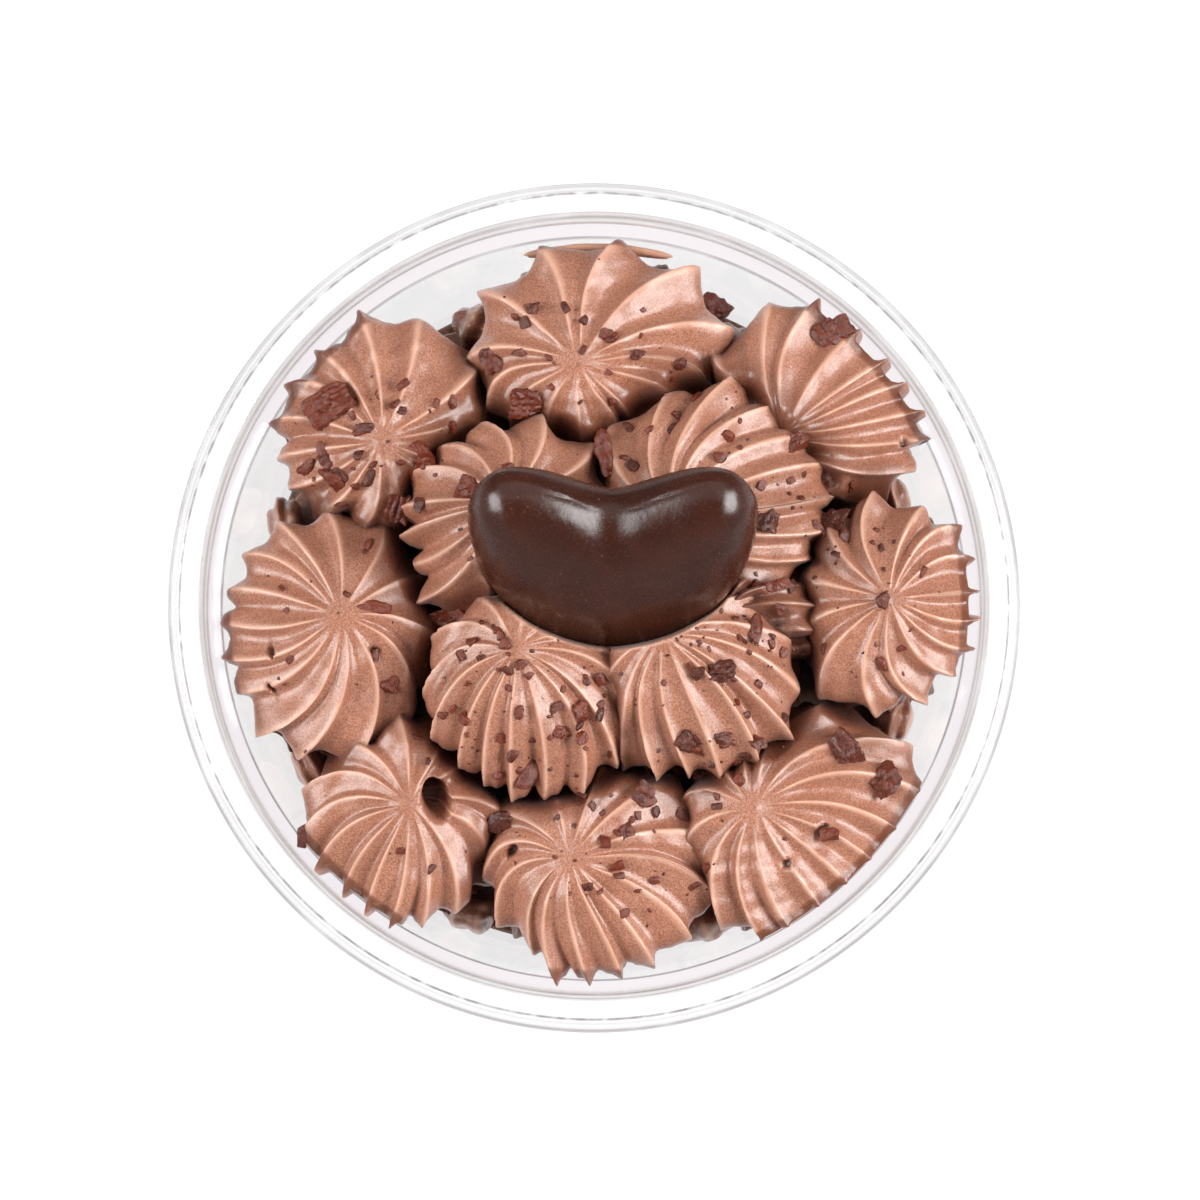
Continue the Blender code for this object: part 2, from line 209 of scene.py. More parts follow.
# Rosettes: name, place of the tip and of the widest level, half widths along x and y, turn of the
# first ridge in degrees, twist of the ridges in radians, and the way they sweep at their ends in
# degrees. They go from the highest in the pile to the lowest: each dips where it meets those above.
Rosette = namedtuple("Rosette", "name apex middle radii turn twist sweep")
ROSETTES = (
    Rosette("inner_lower_left", (-10.6, -7.2, 66), (-7.6, -12.0, 55), (16.1, 15.2), 4, 0.10, 250),
    Rosette("inner_lower_right", (9.6, -5.3, 66), (13.2, -10.4, 55), (16.4, 14.0), 15, -0.10, 270),
    Rosette("inner_upper_left", (-12.3, 13.1, 65), (-11.4, 10.6, 54), (15.8, 15.8), 7, 0.0, 180),
    Rosette("inner_upper_right", (10.9, 11.9, 65), (16.2, 15.0, 54), (17.0, 16.4), 0, 0.0, 0),
    Rosette("inner_right", (17.5, -1.5, 63), (21.6, -1.5, 54), (10.0, 12.0), 10, 0.0, 0),
    Rosette("outer_top", (-2.2, 33.7, 59), (0.8, 35.8, 51.5), (18.4, 16.4), 5, 0.0, 270),
    Rosette("outer_right", (41.0, 0.2, 61), (40.6, 0.0, 55), (14.3, 15.6), 12, -0.05, 0),
    Rosette("outer_left", (-35.4, -1.9, 59), (-36.8, -4.0, 51.5), (15.8, 18.0), 18, 0.25, 180),
    Rosette("outer_bottom", (-3.3, -35.7, 59), (0.3, -36.4, 51.5), (16.4, 16.4), 8, -0.12, 270),
    Rosette("outer_upper_right", (26.8, 24.0, 59), (30.8, 27.6, 51.5), (17.4, 16.3), 2, -0.15, 0),
    Rosette("outer_upper_left", (-29.8, 22.6, 59), (-28.4, 25.0, 51.5), (16.3, 16.9), 9, 0.0, 200),
    Rosette("outer_lower_left", (-25.7, -28.2, 59), (-26.4, -29.9, 51.5), (15.4, 15.9), 14, 0.0, 250),
    Rosette("outer_lower_right", (22.5, -28.6, 59), (29.6, -30.2, 51.5), (18.4, 17.8), 3, 0.12, 290),
)

# Heart: a puffy moulding that leans back on the cream, with how thick it is before and behind the
# plane of its outline. The waves make its outline: the first its height, the others its lobes.
HEART_WIDTH = 39.5
HEART_FRONT = 7.0
HEART_BACK = 5.0
HEART_CENTRE = (2.6, 7.6, 65.7)
HEART_LEAN = 50
HEART_POWER = 2.2
HEART_FULLNESS = 1.44
HEART_WAVES = (16.2, -4.6, -2.6)
HEART_SEGMENTS = 192
HEART_RINGS = 26
HEART_SEAM = (0.008, 0.03)
HEART_RIPPLE = (0.06, 9.0)

# Its front swells up from the edge like a cushion over this distance, with a soft crease in the middle.
HEART_PUFF = 0.85
HEART_PUFF_DEPTH = 10.0
HEART_CREASE = 0.12
HEART_CREASE_END = -2.0
HEART_CREASE_WIDTH = 2.8

# Cream that would hide the heart sinks behind its middle plane. The lip is where that starts and is
# done, inwards from its outline as the camera sees it, at so many pixels for each mm.
HEART_LIP = (-0.4, 0.7)
# How wide the pale highlight painted along the lip is, in mm.
HEART_LIP_WIDTH = 0.3
HEART_BEHIND = 0.6
HEART_PIXELS = 7.28

# Nibs: photo x and y, then length and width in mm, turn in degrees, and the kind.
Nib = namedtuple("Nib", "x y length width turn kind", defaults=["rough"])
NIBS = (
    Nib(330, 405, 6.6, 4.5, 32, "ridged"),
    Nib(420, 463, 6.6, 4.4, -68, "oval"),
    Nib(325, 462, 3.0, 1.8, -60),
    Nib(334, 478, 4.6, 2.3, -50),
    Nib(396, 508, 3.8, 3.2, 80, "ridged"),
    Nib(491, 358, 4.2, 2.9, -70),
    Nib(526, 403, 4.3, 4.0, 0, "ridged"),
    Nib(608, 455, 7.6, 3.0, -72, "oval"),
    Nib(713, 310, 4.4, 3.7, -35),
    Nib(831, 333, 5.4, 4.4, 40),
    Nib(796, 440, 3.4, 3.0, 20),
    Nib(826, 480, 5.0, 3.0, -60),
    Nib(833, 522, 4.0, 3.4, 70),
    Nib(768, 520, 5.2, 3.2, 80),
    Nib(775, 585, 4.1, 1.7, 10),
    Nib(452, 622, 6.0, 4.4, 20, "ridged"),
    Nib(468, 490, 3.6, 3.2, 60),
    Nib(374, 608, 4.9, 2.1, -12),
    Nib(391, 685, 3.0, 2.6, 30),
    Nib(580, 712, 3.6, 2.8, 60),
    Nib(527, 775, 4.7, 2.3, 65, "oval"),
    Nib(560, 733, 2.4, 2.0, 0),
    Nib(582, 738, 2.2, 1.8, 50),
    Nib(500, 820, 3.8, 3.0, 60),
    Nib(303, 836, 3.4, 1.4, 80),
    Nib(722, 672, 3.8, 3.2, 10, "ridged"),
    Nib(755, 630, 4.7, 2.0, 80),
    Nib(783, 609, 2.0, 1.8, 0),
    Nib(688, 743, 3.4, 2.7, -40),
    Nib(718, 738, 3.0, 1.8, 0),
    Nib(755, 743, 2.6, 2.4, 20),
    Nib(703, 772, 3.4, 3.0, 45),
    Nib(845, 748, 6.2, 3.7, -65),
    Nib(885, 780, 4.3, 4.0, 35),
    Nib(829, 835, 2.8, 2.0, 0),
    Nib(883, 598, 2.6, 2.0, 60),
    Nib(646, 791, 3.0, 2.0, -35),
    Nib(640, 800, 2.4, 1.7, -20),
    Nib(625, 832, 2.4, 2.0, 30),
    Nib(448, 331, 5.0, 2.2, -45),
    Nib(465, 316, 3.4, 1.6, -30),
    Nib(366, 428, 2.4, 2.0, 20),
    Nib(401, 411, 1.6, 1.3, 0),
    Nib(358, 455, 1.7, 1.5, 0),
    Nib(321, 449, 2.2, 1.3, -75, "oval"),
    Nib(339, 475, 3.0, 1.6, -50, "oval"),
    Nib(369, 478, 2.5, 1.5, 70, "oval"),
    Nib(306, 468, 2.5, 2.2, 0),
    Nib(419, 504, 2.0, 1.7, 60),
    Nib(341, 504, 2.4, 0.9, 0),
    Nib(452, 402, 2.2, 1.3, -75, "oval"),
    Nib(507, 467, 2.0, 1.5, 20),
    Nib(584, 320, 1.6, 1.3, 50),
    Nib(533, 310, 1.7, 1.6, 0),
    Nib(516, 317, 1.3, 1.1, 0),
    Nib(612, 338, 1.8, 1.2, 40, "oval"),
    Nib(612, 340, 1.5, 1.2, 40),
    Nib(521, 352, 2.8, 1.3, 5),
    Nib(549, 358, 1.6, 1.0, -50, "oval"),
    Nib(638, 355, 2.4, 1.9, 40),
    Nib(629, 428, 2.0, 1.3, -50, "oval"),
    Nib(672, 429, 2.2, 1.3, 40, "oval"),
    Nib(492, 286, 1.6, 1.4, 0),
)

# Pits in the cream: photo x and y, then length, width and depth in mm, and turn in degrees.
Pit = namedtuple("Pit", "x y length width depth turn")
PITS = (
    Pit(437, 801, 5.8, 4.0, 6.5, -75),
    Pit(270, 651, 2.6, 0.9, 1.6, -80),
    Pit(272, 690, 2.4, 0.9, 1.4, -60),
    Pit(512, 851, 2.2, 1.4, 1.6, 60),
    Pit(786, 864, 1.6, 1.6, 1.2, 0),
    Pit(822, 832, 2.4, 1.5, 1.5, 50),
    Pit(870, 345, 2.2, 1.1, 1.2, -40),
    Pit(905, 441, 1.8, 1.2, 1.2, 20),
    Pit(375, 650, 1.6, 1.2, 1.0, 0),
)

# Crumbs: photo x and y of a patch, its radius in pixels, and how many are thrown there.
CRUMB_PATCHES = (
    (594, 606, 330, 120),
    (520, 700, 85, 46),
    (500, 640, 60, 18),
    (715, 700, 85, 52),
    (745, 622, 60, 34),
    (640, 832, 85, 40),
    (870, 600, 80, 30),
    (700, 420, 60, 16),
    (560, 840, 70, 16),
    (800, 500, 60, 22),
    (370, 450, 80, 26),
    (580, 330, 90, 12),
)

# Their sizes, more small than large ones by the skew, and how far each stands out, as a share of its
# width. None stays on a place steeper than the last value, the upright part of the surface's normal.
CRUMB_SIZES = (0.35, 2.2)
CRUMB_SKEW = 2.4
CRUMB_LIFT = 0.14
CRUMB_LEAST_UPRIGHT = 0.3

# Nibs break along flat faces: cuts, sharpness and least distance of the cuts for each kind, and its
# thickness as a share of its width. The ridged ones have grooves along them and uneven ends.
Break = namedtuple("Break", "cuts sharpness least thickness")
BREAKS = {
    "oval": Break(6, 6, 0.8, 0.6),
    "ridged": Break(4, 22, 0.85, 0.5),
    "rough": Break(9, 26, 0.62, 0.6),
    "crumb": Break(6, 18, 0.62, 0.6),
}
NIB_SHARP_DEGREES = 24
NIB_LIFT = 0.10
NIB_LUMPS = (0.05, 1.5)
NIB_GRIT = (0.018, 0.5)
OVAL_TAPER = 0.35
GROOVE_PITCH = 0.85
GROOVE_DEPTH = 0.24
GROOVE_ENDS = 0.16

# The white room round the cup: bright low in front and dim behind and overhead.
SKY_AXIS = (0.0, 0.45, 0.85)
SKY_FROM, SKY_TO = -0.45, 0.5
SKY_LOW = 0.42
SKY_HIGH = 0.12

# The floor's glow, painted light that washes out the shadows round the cup, near and far, and the
# distances from the cup in metres where it fades.
FLOOR_HALF_WIDTH = 3000
FLOOR_FADE = (0.12, 0.36)
FLOOR_GLOW = (0.97, 0.23)
FLOOR_COLOUR = (0.10, 0.10, 0.102, 1)

# Soft boxes, aimed at the cup: place and size in metres, and watts.
Light = namedtuple("Light", "name place size power")
LIGHTS = (
    Light("softbox_left", (-0.60, -0.04, 0.50), (0.48, 0.48), 5.4),
    Light("softbox_right", (0.60, 0.0, 0.50), (0.48, 0.48), 7.2),
    Light("overhead", (0.0, 0.40, 0.75), (1.2, 0.8), 1.6),
)
LIGHTS_AIM = (0, 0, 0.05)


def srgb(red, green, blue):
    """A colour given as 0 to 255, as linear RGBA."""
    parts = [value / 255 for value in (red, green, blue)]
    return (*(p / 12.92 if p <= 0.04045 else ((p + 0.055) / 1.055) ** 2.4 for p in parts), 1.0)


def smooth(low, high, value):
    """0 at low, 1 at high, with a soft start and end."""
    t = np.clip((value - low) / (high - low), 0, 1)
    return t * t * (3 - 2 * t)


def bell(away, width):
    """1 where away is 0, and soon nearly 0 past width."""
    return np.exp(-((away / width) ** 2))


def rng(*key):
    """A random generator of its own for each named thing."""
    return np.random.default_rng([SEED, *"/".join(map(str, key)).encode()])


def ripple(points, size, *key):
    """Smooth noise of about -1 to 1 at points, with waves about size long."""
    draw = rng("ripple", *key)
    count = 9
    waves = draw.normal(size=(points.shape[-1], count)) * TAU / size / 1.6
    return np.sin(points @ waves + draw.uniform(0, TAU, count)).sum(-1) / math.sqrt(count)


# ---- meshes


def add_mesh(name, points, faces, attributes=None):
    """A smooth mesh object from points in mm, with named values at its points."""
    mesh = bpy.data.meshes.new(name)
    mesh.from_pydata((np.asarray(points) * MM).tolist(), [], faces)
    for key, values in (attributes or {}).items():
        layer = mesh.attributes.new(key, "FLOAT", "POINT")
        layer.data.foreach_set("value", np.asarray(values, np.float32))
    mesh.shade_smooth()
    made = bpy.data.objects.new(name, mesh)
    bpy.context.scene.collection.objects.link(made)
    return made


def ring_faces(rings, count):
    """Quads between one ring of count points and the next, rings in all, facing out."""
    faces = []
    for ring in range(rings - 1):
        low = ring * count
        for i in range(count):
            j = (i + 1) % count
            faces.append((low + i, low + j, low + count + j, low + count + i))
    return faces


def closed_rings(grid, bottom, top):
    """Points and faces of a body made of rings (rings, count, 3), with a point at either end."""
    rings, count = grid.shape[:2]
    points = np.concatenate([grid.reshape(-1, 3), [bottom, top]])
    faces = ring_faces(rings, count)
    last = (rings - 1) * count
    for i in range(count):
        j = (i + 1) % count
        faces.append((len(points) - 2, j, i))
        faces.append((len(points) - 1, last + i, last + j))
    return points, faces


def ring_at(radius, turns, height):
    """Points at a radius and a height, one for each turn."""
    return np.stack([radius * np.cos(turns), radius * np.sin(turns), height + 0 * turns], -1)


def lathe(name, profile, segments):
    """A turned body: profile runs up the outside from the axis back to the axis."""
    turns = np.arange(segments) * TAU / segments
    rings = [ring_at(radius, turns, height) for radius, height in profile[1:-1]]
    ends = (0, 0, profile[0][1]), (0, 0, profile[-1][1])
    return add_mesh(name, *closed_rings(np.array(rings), *ends))


def ball(subdivisions):
    """Unit directions and faces of an icosphere."""
    shape = bmesh.new()
    bmesh.ops.create_icosphere(shape, subdivisions=subdivisions, radius=1.0)
    points = np.array([vert.co[:] for vert in shape.verts])
    faces = [tuple(vert.index for vert in face.verts) for face in shape.faces]
    shape.free()
    return points / np.linalg.norm(points, axis=1, keepdims=True), faces


def scatter(bits):
    """Joins bits, each (points, faces), into one list of points and of faces."""
    points, faces, count = [], [], 0
    for bit_points, bit_faces in bits:
        points.append(bit_points)
        faces.extend(tuple(i + count for i in face) for face in bit_faces)
        count += len(bit_points)
    return np.concatenate(points), faces


# ---- cup and cake


def cup_path():
    """The middle line of the cup's wall as (radius, height)."""
    half = CUP_WALL / 2
    return (
        (0.0, BASE_RECESS + half),
        (FOOT_INNER_RADIUS - BASE_RECESS, BASE_RECESS + half),
        (FOOT_INNER_RADIUS, half),
        (FOOT_OUTER_RADIUS, half),
        HEEL,
        LEDGE_INNER,
        LEDGE_OUTER,
        (RIM_INNER_RADIUS, RIM_HEIGHT - half),
        (RIM_OUTER_RADIUS, RIM_HEIGHT - half),
        SKIRT_SHOULDER,
        SKIRT_EDGE,
    )


def rounded(path, radius, steps=6):
    """The path with each corner turned into a short curve."""
    points = [Vector(point) for point in path]
    made = [points[0]]
    for before, corner, after in zip(points, points[1:], points[2:]):
        back, on = before - corner, after - corner
        reach = min(radius, 0.45 * back.length, 0.45 * on.length)
        start, end = corner + back.normalized() * reach, corner + on.normalized() * reach
        for i in range(steps + 1):
            t = i / steps
            made.append(start * (1 - t) ** 2 + corner * 2 * t * (1 - t) + end * t * t)
    return made + [points[-1]]


def offset_path(path, distance):
    """The path moved to its left by distance, with mitred corners."""
    points = [Vector(point) for point in path]
    steps = [(b - a).normalized() for a, b in zip(points, points[1:])]
    normals = [Vector((-step.y, step.x)) for step in steps]
    moved = [points[0] + normals[0] * distance]
    for point, before, after in zip(points[1:-1], normals, normals[1:]):
        middle = (before + after).normalized()
        moved.append(point + middle * distance / middle.dot(before))
    moved.append(points[-1] + normals[-1] * distance)
    return [tuple(point) for point in moved]


def wall_radius(height, off_wall):
    """The radius of the cup's inner wall at each height, less off_wall."""
    inside = offset_path(cup_path(), CUP_WALL / 2)
    wall = inside[3 : cup_path().index(LEDGE_OUTER) + 2]
    return np.interp(height, [z for _, z in wall], [r for r, _ in wall]) - off_wall


def make_cup():
    """The cup's wall on either side of its middle line, with a round lip at the skirt's edge."""
    path = rounded(cup_path(), CUP_ROUNDING)
    inner = offset_path(path, CUP_WALL / 2)
    outer = offset_path(path, -CUP_WALL / 2)
    edge = Vector(path[-1])
    across = Vector(outer[-1]) - edge
    along = Vector((across.y, -across.x))
    turns = np.linspace(0, math.pi, 9)[1:-1]
    lip = [tuple(edge + across * math.cos(t) - along * math.sin(t)) for t in turns]
    return lathe("cup_clear", outer + lip + inner[::-1], CUP_SEGMENTS)


def make_cake():
    """The cake, which fills the cup up to its level and softens at its upper edge."""
    inside = offset_path(rounded(cup_path(), CUP_ROUNDING), CUP_WALL / 2 - INTO_WALL)
    below = [point for point in inside if point[1] < CAKE_TOP - CAKE_EDGE_DROP]
    heights = np.linspace(below[-1][1], CAKE_TOP - CAKE_EDGE_DROP, CAKE_RINGS)[1:]
    side = [(wall_radius(height, -INTO_WALL), height) for height in heights]
    edge = side[-1][0]
    top = [(edge - inward, CAKE_TOP - drop) for inward, drop in CAKE_EDGE]
    return lathe("cake_sponge", below + side + top + [(0, CAKE_TOP)], CUP_SEGMENTS)


def make_bed():
    """The bed of cream, which swells between the cake and the rosettes and clings to the wall."""
    turns = np.arange(BED_POINTS) * TAU / BED_POINTS
    wave = (2 * np.sin(BED_LOBES * turns) + np.sin(2 * BED_LOBES * turns + 1)) / 3
    bottom = CAKE_TOP - BED_OVERLAP
    rings = []
    for t in np.linspace(0, 1, BED_RINGS):
        height = bottom + (BED_TOP - bottom) * t
        bulge = 1 - 0.05 * (2 * t - 1) ** 4
        radius = (BED_RADIUS + BED_WAVE * wave) * bulge
        radius = radius + BED_RIPPLE * ripple(ring_at(radius, turns, height), 4.0, "bed")
        radius = np.minimum(radius, wall_radius(height, -INTO_WALL))
        rings.append(ring_at(radius, turns, height))
    points, faces = closed_rings(np.array(rings), (0, 0, bottom), (0, 0, BED_TOP))
    # The whole bed gets painted shade, as it lies low under the rosettes.
    values = {"wet": np.full(len(points), 0.2), "deep": np.full(len(points), 0.7)}
    return add_mesh("cream_bed_smooth", points, faces, values)


def wall_point(angle, along, height, off):
    """Points on the inside of the wall, along it from an angle, off it by a distance."""
    radius = wall_radius(height, off - INTO_WALL)
    return ring_at(radius, math.radians(angle) + along / radius, height)


def make_smears():
    """Thin ragged patches of cream that cling to the inside of the wall."""
    turns = np.arange(SMEAR_POINTS) * TAU / SMEAR_POINTS
    circle = np.stack([np.cos(turns), np.sin(turns)], -1)
    scallops, scallop_depth = SMEAR_SCALLOPS
    bodies = []
    for number, smear in enumerate(SMEARS):
        edge = 1 + SMEAR_RAGGED * ripple(circle, 0.9, "smear", number)
        edge += scallop_depth * np.sin(scallops * turns + number)
        rings = []
        for level in np.linspace(-1, 1, SMEAR_RINGS)[1:-1]:
            share = math.cos(level * math.pi / 2) ** SMEAR_BLUNT
            along = smear.length * edge * share * np.cos(turns)
            height = smear.height + smear.rise * edge * share * np.sin(turns)
            off = SMEAR_THICKNESS * (1 + math.sin(level * math.pi / 2)) / 2
            rings.append(wall_point(smear.angle, along, height, off))
        ends = [wall_point(smear.angle, 0.0, smear.height, off) for off in (0.0, SMEAR_THICKNESS)]
        bodies.append(closed_rings(np.array(rings), *ends))
    points, faces = scatter(bodies)
    # The smears are painted paler, a painted highlight that lifts them out of the shade by the wall.
    values = {"ridge": np.full(len(points), 0.8), "wet": np.full(len(points), 0.5)}
    return add_mesh("cream_smears", points, faces, values)


def make_folds():
    """Loose folds of cream that fill the corners between the rosettes and the wall."""
    directions, faces = ball(5)
    bodies, ridges = [], []
    for number, fold in enumerate(FOLDS):
        turn = math.radians(fold.turn)
        ridge = np.cos(directions[:, 0] * FOLD_RIDGES + 1.5 * directions[:, 2] + number)
        size = 1 + FOLD_DEPTH * ridge + FOLD_RIPPLE * ripple(directions, 0.8, "fold", number)
        body = directions * size[:, None] * (fold.length / 2, fold.width / 2, FOLD_HALF_HEIGHT)
        along = np.array([math.cos(turn), math.sin(turn)])
        body[:, :2] = np.outer(body[:, 0], along) + np.outer(body[:, 1], (-along[1], along[0]))
        body += (fold.x, fold.y, fold.z)
        radius = np.hypot(body[:, 0], body[:, 1])
        body[:, :2] *= np.minimum(1, wall_radius(body[:, 2], 0.05) / radius)[:, None]
        bodies.append((body, faces))
        # Painted highlight along the folds' crests.
        ridges.append(smooth(0.5, 1.0, ridge))
    points, joined = scatter(bodies)
    # The folds get some painted shade, as they lie low at the wall.
    values = {"ridge": np.concatenate(ridges), "deep": np.full(len(points), 0.35)}
    return add_mesh("cream_folds", points, joined, values)


# ---- rosettes


def dome(share):
    """How far up a rosette its surface is, from 0 to 1, at a share of its radius."""
    round_part = (1 - share**DOME_POWER) ** (1 / DOME_POWER)
    return round_part * (1 - TIP_SHARE) + (1 - share) * TIP_SHARE


def depth_inside(rosette, points):
    """How far each point lies inside the plain body of a rosette, in mm; negative outside."""
    apex, middle = np.array(rosette.apex, float), np.array(rosette.middle, float)
    shares = np.linspace(1, 0, 60)
    rise = (points[..., 2] - middle[2]) / (apex[2] - middle[2])
    level = np.clip((points[..., 2] - middle[2]) / (middle[2] - BED_TOP - GAP), -1, 0)
    share = np.where(
        rise > 0, np.interp(rise, dome(shares), shares), 1 - (1 - BASE_SHARE) * level**2
    )
    blend = np.where(rise > 0, share**2, 1.0)[..., None]
    centre = apex[:2] + (middle[:2] - apex[:2]) * blend
    away = np.linalg.norm((points[..., :2] - centre) / rosette.radii, axis=-1)
    return (share - away) * sum(rosette.radii) / 2


def ridge_angles(rosette):
    """The angle of each ridge, unevenly spaced, as by hand."""
    draw = random.Random(f"{SEED} {rosette.name}")
    step = TAU / RIDGES
    turn = math.radians(rosette.turn)
    return [turn + step * (i + draw.uniform(-1, 1) * RIDGE_JITTER) for i in range(RIDGES)]


def around(values, place):
    """Values given at the ridges, blended softly between them. place counts ridges."""
    low = np.floor(place).astype(int)
    t = smooth(0, 1, place - low)
    return values[low % RIDGES] * (1 - t) + values[(low + 1) % RIDGES] * t


def fold_depth(fraction, folded):
    """How deep a valley is across its width: wide between thin ridges, or a crease between folds."""
    wide = np.sqrt(np.sin(math.pi * fraction) ** 2 + RIDGE_ROUNDING**2) - RIDGE_ROUNDING
    crease = np.sin(math.pi * fraction) ** 6
    return wide * (1 - folded) + crease * folded


def rosette_grid(rosette):
    """The points of a rosette as (rings, count, 3), with how near each is to a ridge, which also sets its
    painted highlight.
    """
    draw = rng("rosette", rosette.name)
    fraction = (1 - np.cos(np.arange(RIDGE_STEPS) * math.pi / RIDGE_STEPS)) / 2
    place = (np.arange(RIDGES)[:, None] + fraction).reshape(-1)
    ridges = np.array([*ridge_angles(rosette), ridge_angles(rosette)[0] + TAU])
    angle = np.interp(place, np.arange(RIDGES + 1), ridges)
    fraction = place % 1
    beside = np.minimum(fraction, 1 - fraction)
    valley = np.floor(place).astype(int)

    below = np.linspace(-1, 0, LOW_RINGS, endpoint=False)
    level = np.concatenate([below, np.linspace(0, DOME_END, DOME_RINGS)])
    lift = np.maximum(level, 0) * math.pi / 2
    share = np.where(level > 0, np.cos(lift), 1 - (1 - BASE_SHARE) * level**2)
    waist = bell(level - WAIST_LEVEL, WAIST_HEIGHT)
    apex, middle = np.array(rosette.apex, float), np.array(rosette.middle, float)
    height = np.where(
        level > 0,
        middle[2] + (apex[2] - middle[2]) * dome(np.minimum(share, 1)),
        middle[2] + (middle[2] - BED_TOP - GAP) * level,
    )
    blend = np.where(level > 0, share**2, 1.0)[:, None]
    centre = apex[:2] + (middle[:2] - apex[:2]) * blend

    # Each ridge and valley has its own length, bend and depth.
    reach = 1 + around(draw.normal(0, REACH_VARIES, RIDGES), place)
    bend = around(draw.normal(0, BEND_VARIES, RIDGES), place)
    fins = around(draw.uniform(*FINS, RIDGES), place)
    hollows = (1 + draw.uniform(-HOLLOWS_VARY, HOLLOWS_VARY, RIDGES))[valley]
    folded_share = FOLDED_SHARES.get(rosette.name, FOLDED_SHARE)
    folded = (draw.uniform(0, 1, RIDGES) < folded_share)[valley] * FOLDED
    skew = draw.uniform(-RIDGE_SKEW, RIDGE_SKEW)
    calm = 1 - draw.uniform(*OUTLINE_CALM) * smooth(0.75, 1.0, share)[:, None]
    lean = draw.uniform(-ROSETTE_LEAN, ROSETTE_LEAN)
    lean = lean + draw.uniform(-RIDGE_LEAN, RIDGE_LEAN, RIDGES + 1)[np.rint(place).astype(int)]

    inward = (1 - share)[:, None]
    step = TAU / RIDGES
    turned = angle + (rosette.twist + bend) * inward * (1 - inward) * 2 + rosette.twist * inward**2
    turned = turned + lean * step * bell(beside, FIN_WIDTH) * smooth(0.1, 0.5, share)[:, None]
    towards = math.radians(rosette.sweep)
    turned = turned - RIDGE_SWEEP * np.sin(turned - towards) * (share**2.5)[:, None]
    under_waist = smooth(WAIST_LEVEL + WAIST_SHIFT, WAIST_LEVEL - WAIST_SHIFT, level)[:, None]
    turned = turned + step / 2 * under_waist
    across = np.stack([rosette.radii[0] * np.cos(turned), rosette.radii[1] * np.sin(turned)], -1)
    unit = across / np.linalg.norm(across, axis=-1, keepdims=True)

    skewed = fraction + skew * np.sin(math.pi * fraction) ** 2 / 2
    hollow = fold_depth(skewed, folded * smooth(0.45, 0.95, share)[:, None])
    grooves = 0
    for count in (2, 3, 4):
        strength = draw.normal(0, GROOVE_SHARE, RIDGES)[valley]
        grooves = grooves + strength * np.cos(TAU * count * fraction)
    fade = smooth(0.03, 0.3, share)[:, None]
    depth = RIDGE_DEPTH * (hollow * hollows + grooves * np.sin(math.pi * fraction)) * fade * calm
    fin = fins * bell(beside, FIN_WIDTH) * smooth(0.62, 1.0, share)[:, None]

    radius = sum(rosette.radii) / 2
    push = fin - depth * share[:, None] * radius - (WAIST * waist)[:, None] * radius
    flat = centre[:, None] + across * (share[:, None] * reach)[..., None]
    flat = flat + unit * (push * np.cos(lift)[:, None])[..., None]
    up = height[:, None] + push * np.sin(lift)[:, None]
    grid = np.concatenate([flat, up[..., None]], -1)
    (high, long), (small_high, small_long) = SWELLS, SMALL_SWELLS
    swell = high * ripple(grid, long, rosette.name)
    swell = swell + small_high * ripple(grid, small_long, rosette.name, "fine")
    grid[..., 2] += swell * smooth(0.0, 0.5, 1.25 - share)[:, None]
    torn = TORN * ripple(grid, 1.6, rosette.name, "torn") * bell(beside, TORN_WIDTH)
    grid[..., :2] += unit * (torn * smooth(0.55, 0.95, share)[:, None])[..., None]
    ridge = bell(beside, LINE_WIDTH) * fade * np.ones_like(up)
    return grid, ridge


def settle(rosette, grid, ridge, above):
    """Dips the surface where it comes near the rosettes piped over it, and keeps it in the cup.

    Gives how wet each point is from the wall, and how much painted shade it gets for lying low and shut
    in among its neighbours.
    """
    middle = rosette.middle[2]
    # Painted shade: darker low down on the rosette and near the rosettes piped over it.
    deep = smooth(middle + SHADE_DEPTH, middle - SHADE_DEPTH, grid[..., 2])
    for other in above:
        inside = depth_inside(other, grid)
        deep = np.maximum(deep, smooth(*SHADE_NEAR, inside))
        grid[..., 2] -= DIP * smooth(*DIP_NEAR, inside)
    radius = np.hypot(grid[..., 0], grid[..., 1])
    cling = CLING_RADIUS + FLAT_AT_WALL.get(rosette.name, CLING_TIPS) * ridge
    limit = np.minimum(wall_radius(grid[..., 2], -INTO_WALL / 2), cling)
    over = radius - np.minimum(limit, WET_RADIUS)
    wet = smooth(*WET_NEAR, over) * (1 - smooth(*DRY_AGAIN, over) / 2)
    shrink = np.minimum(1, limit / np.maximum(radius, 1e-6))
    grid[..., :2] *= shrink[..., None]
    grid[..., 2] = np.maximum(grid[..., 2], BED_TOP - FOOT_BELOW_BED)
    return wet, deep


def from_camera(points):
    """Each point's place in the photograph, as pixels from its middle, and its way from the camera."""
    ways = points - np.array(CAMERA_PLACE)
    turned = ways @ np.array(Matrix.Rotation(math.radians(CAMERA_TILT), 3, "X"))
    return turned[..., :2] / -turned[..., 2:] * PHOTO_FOCAL, ways


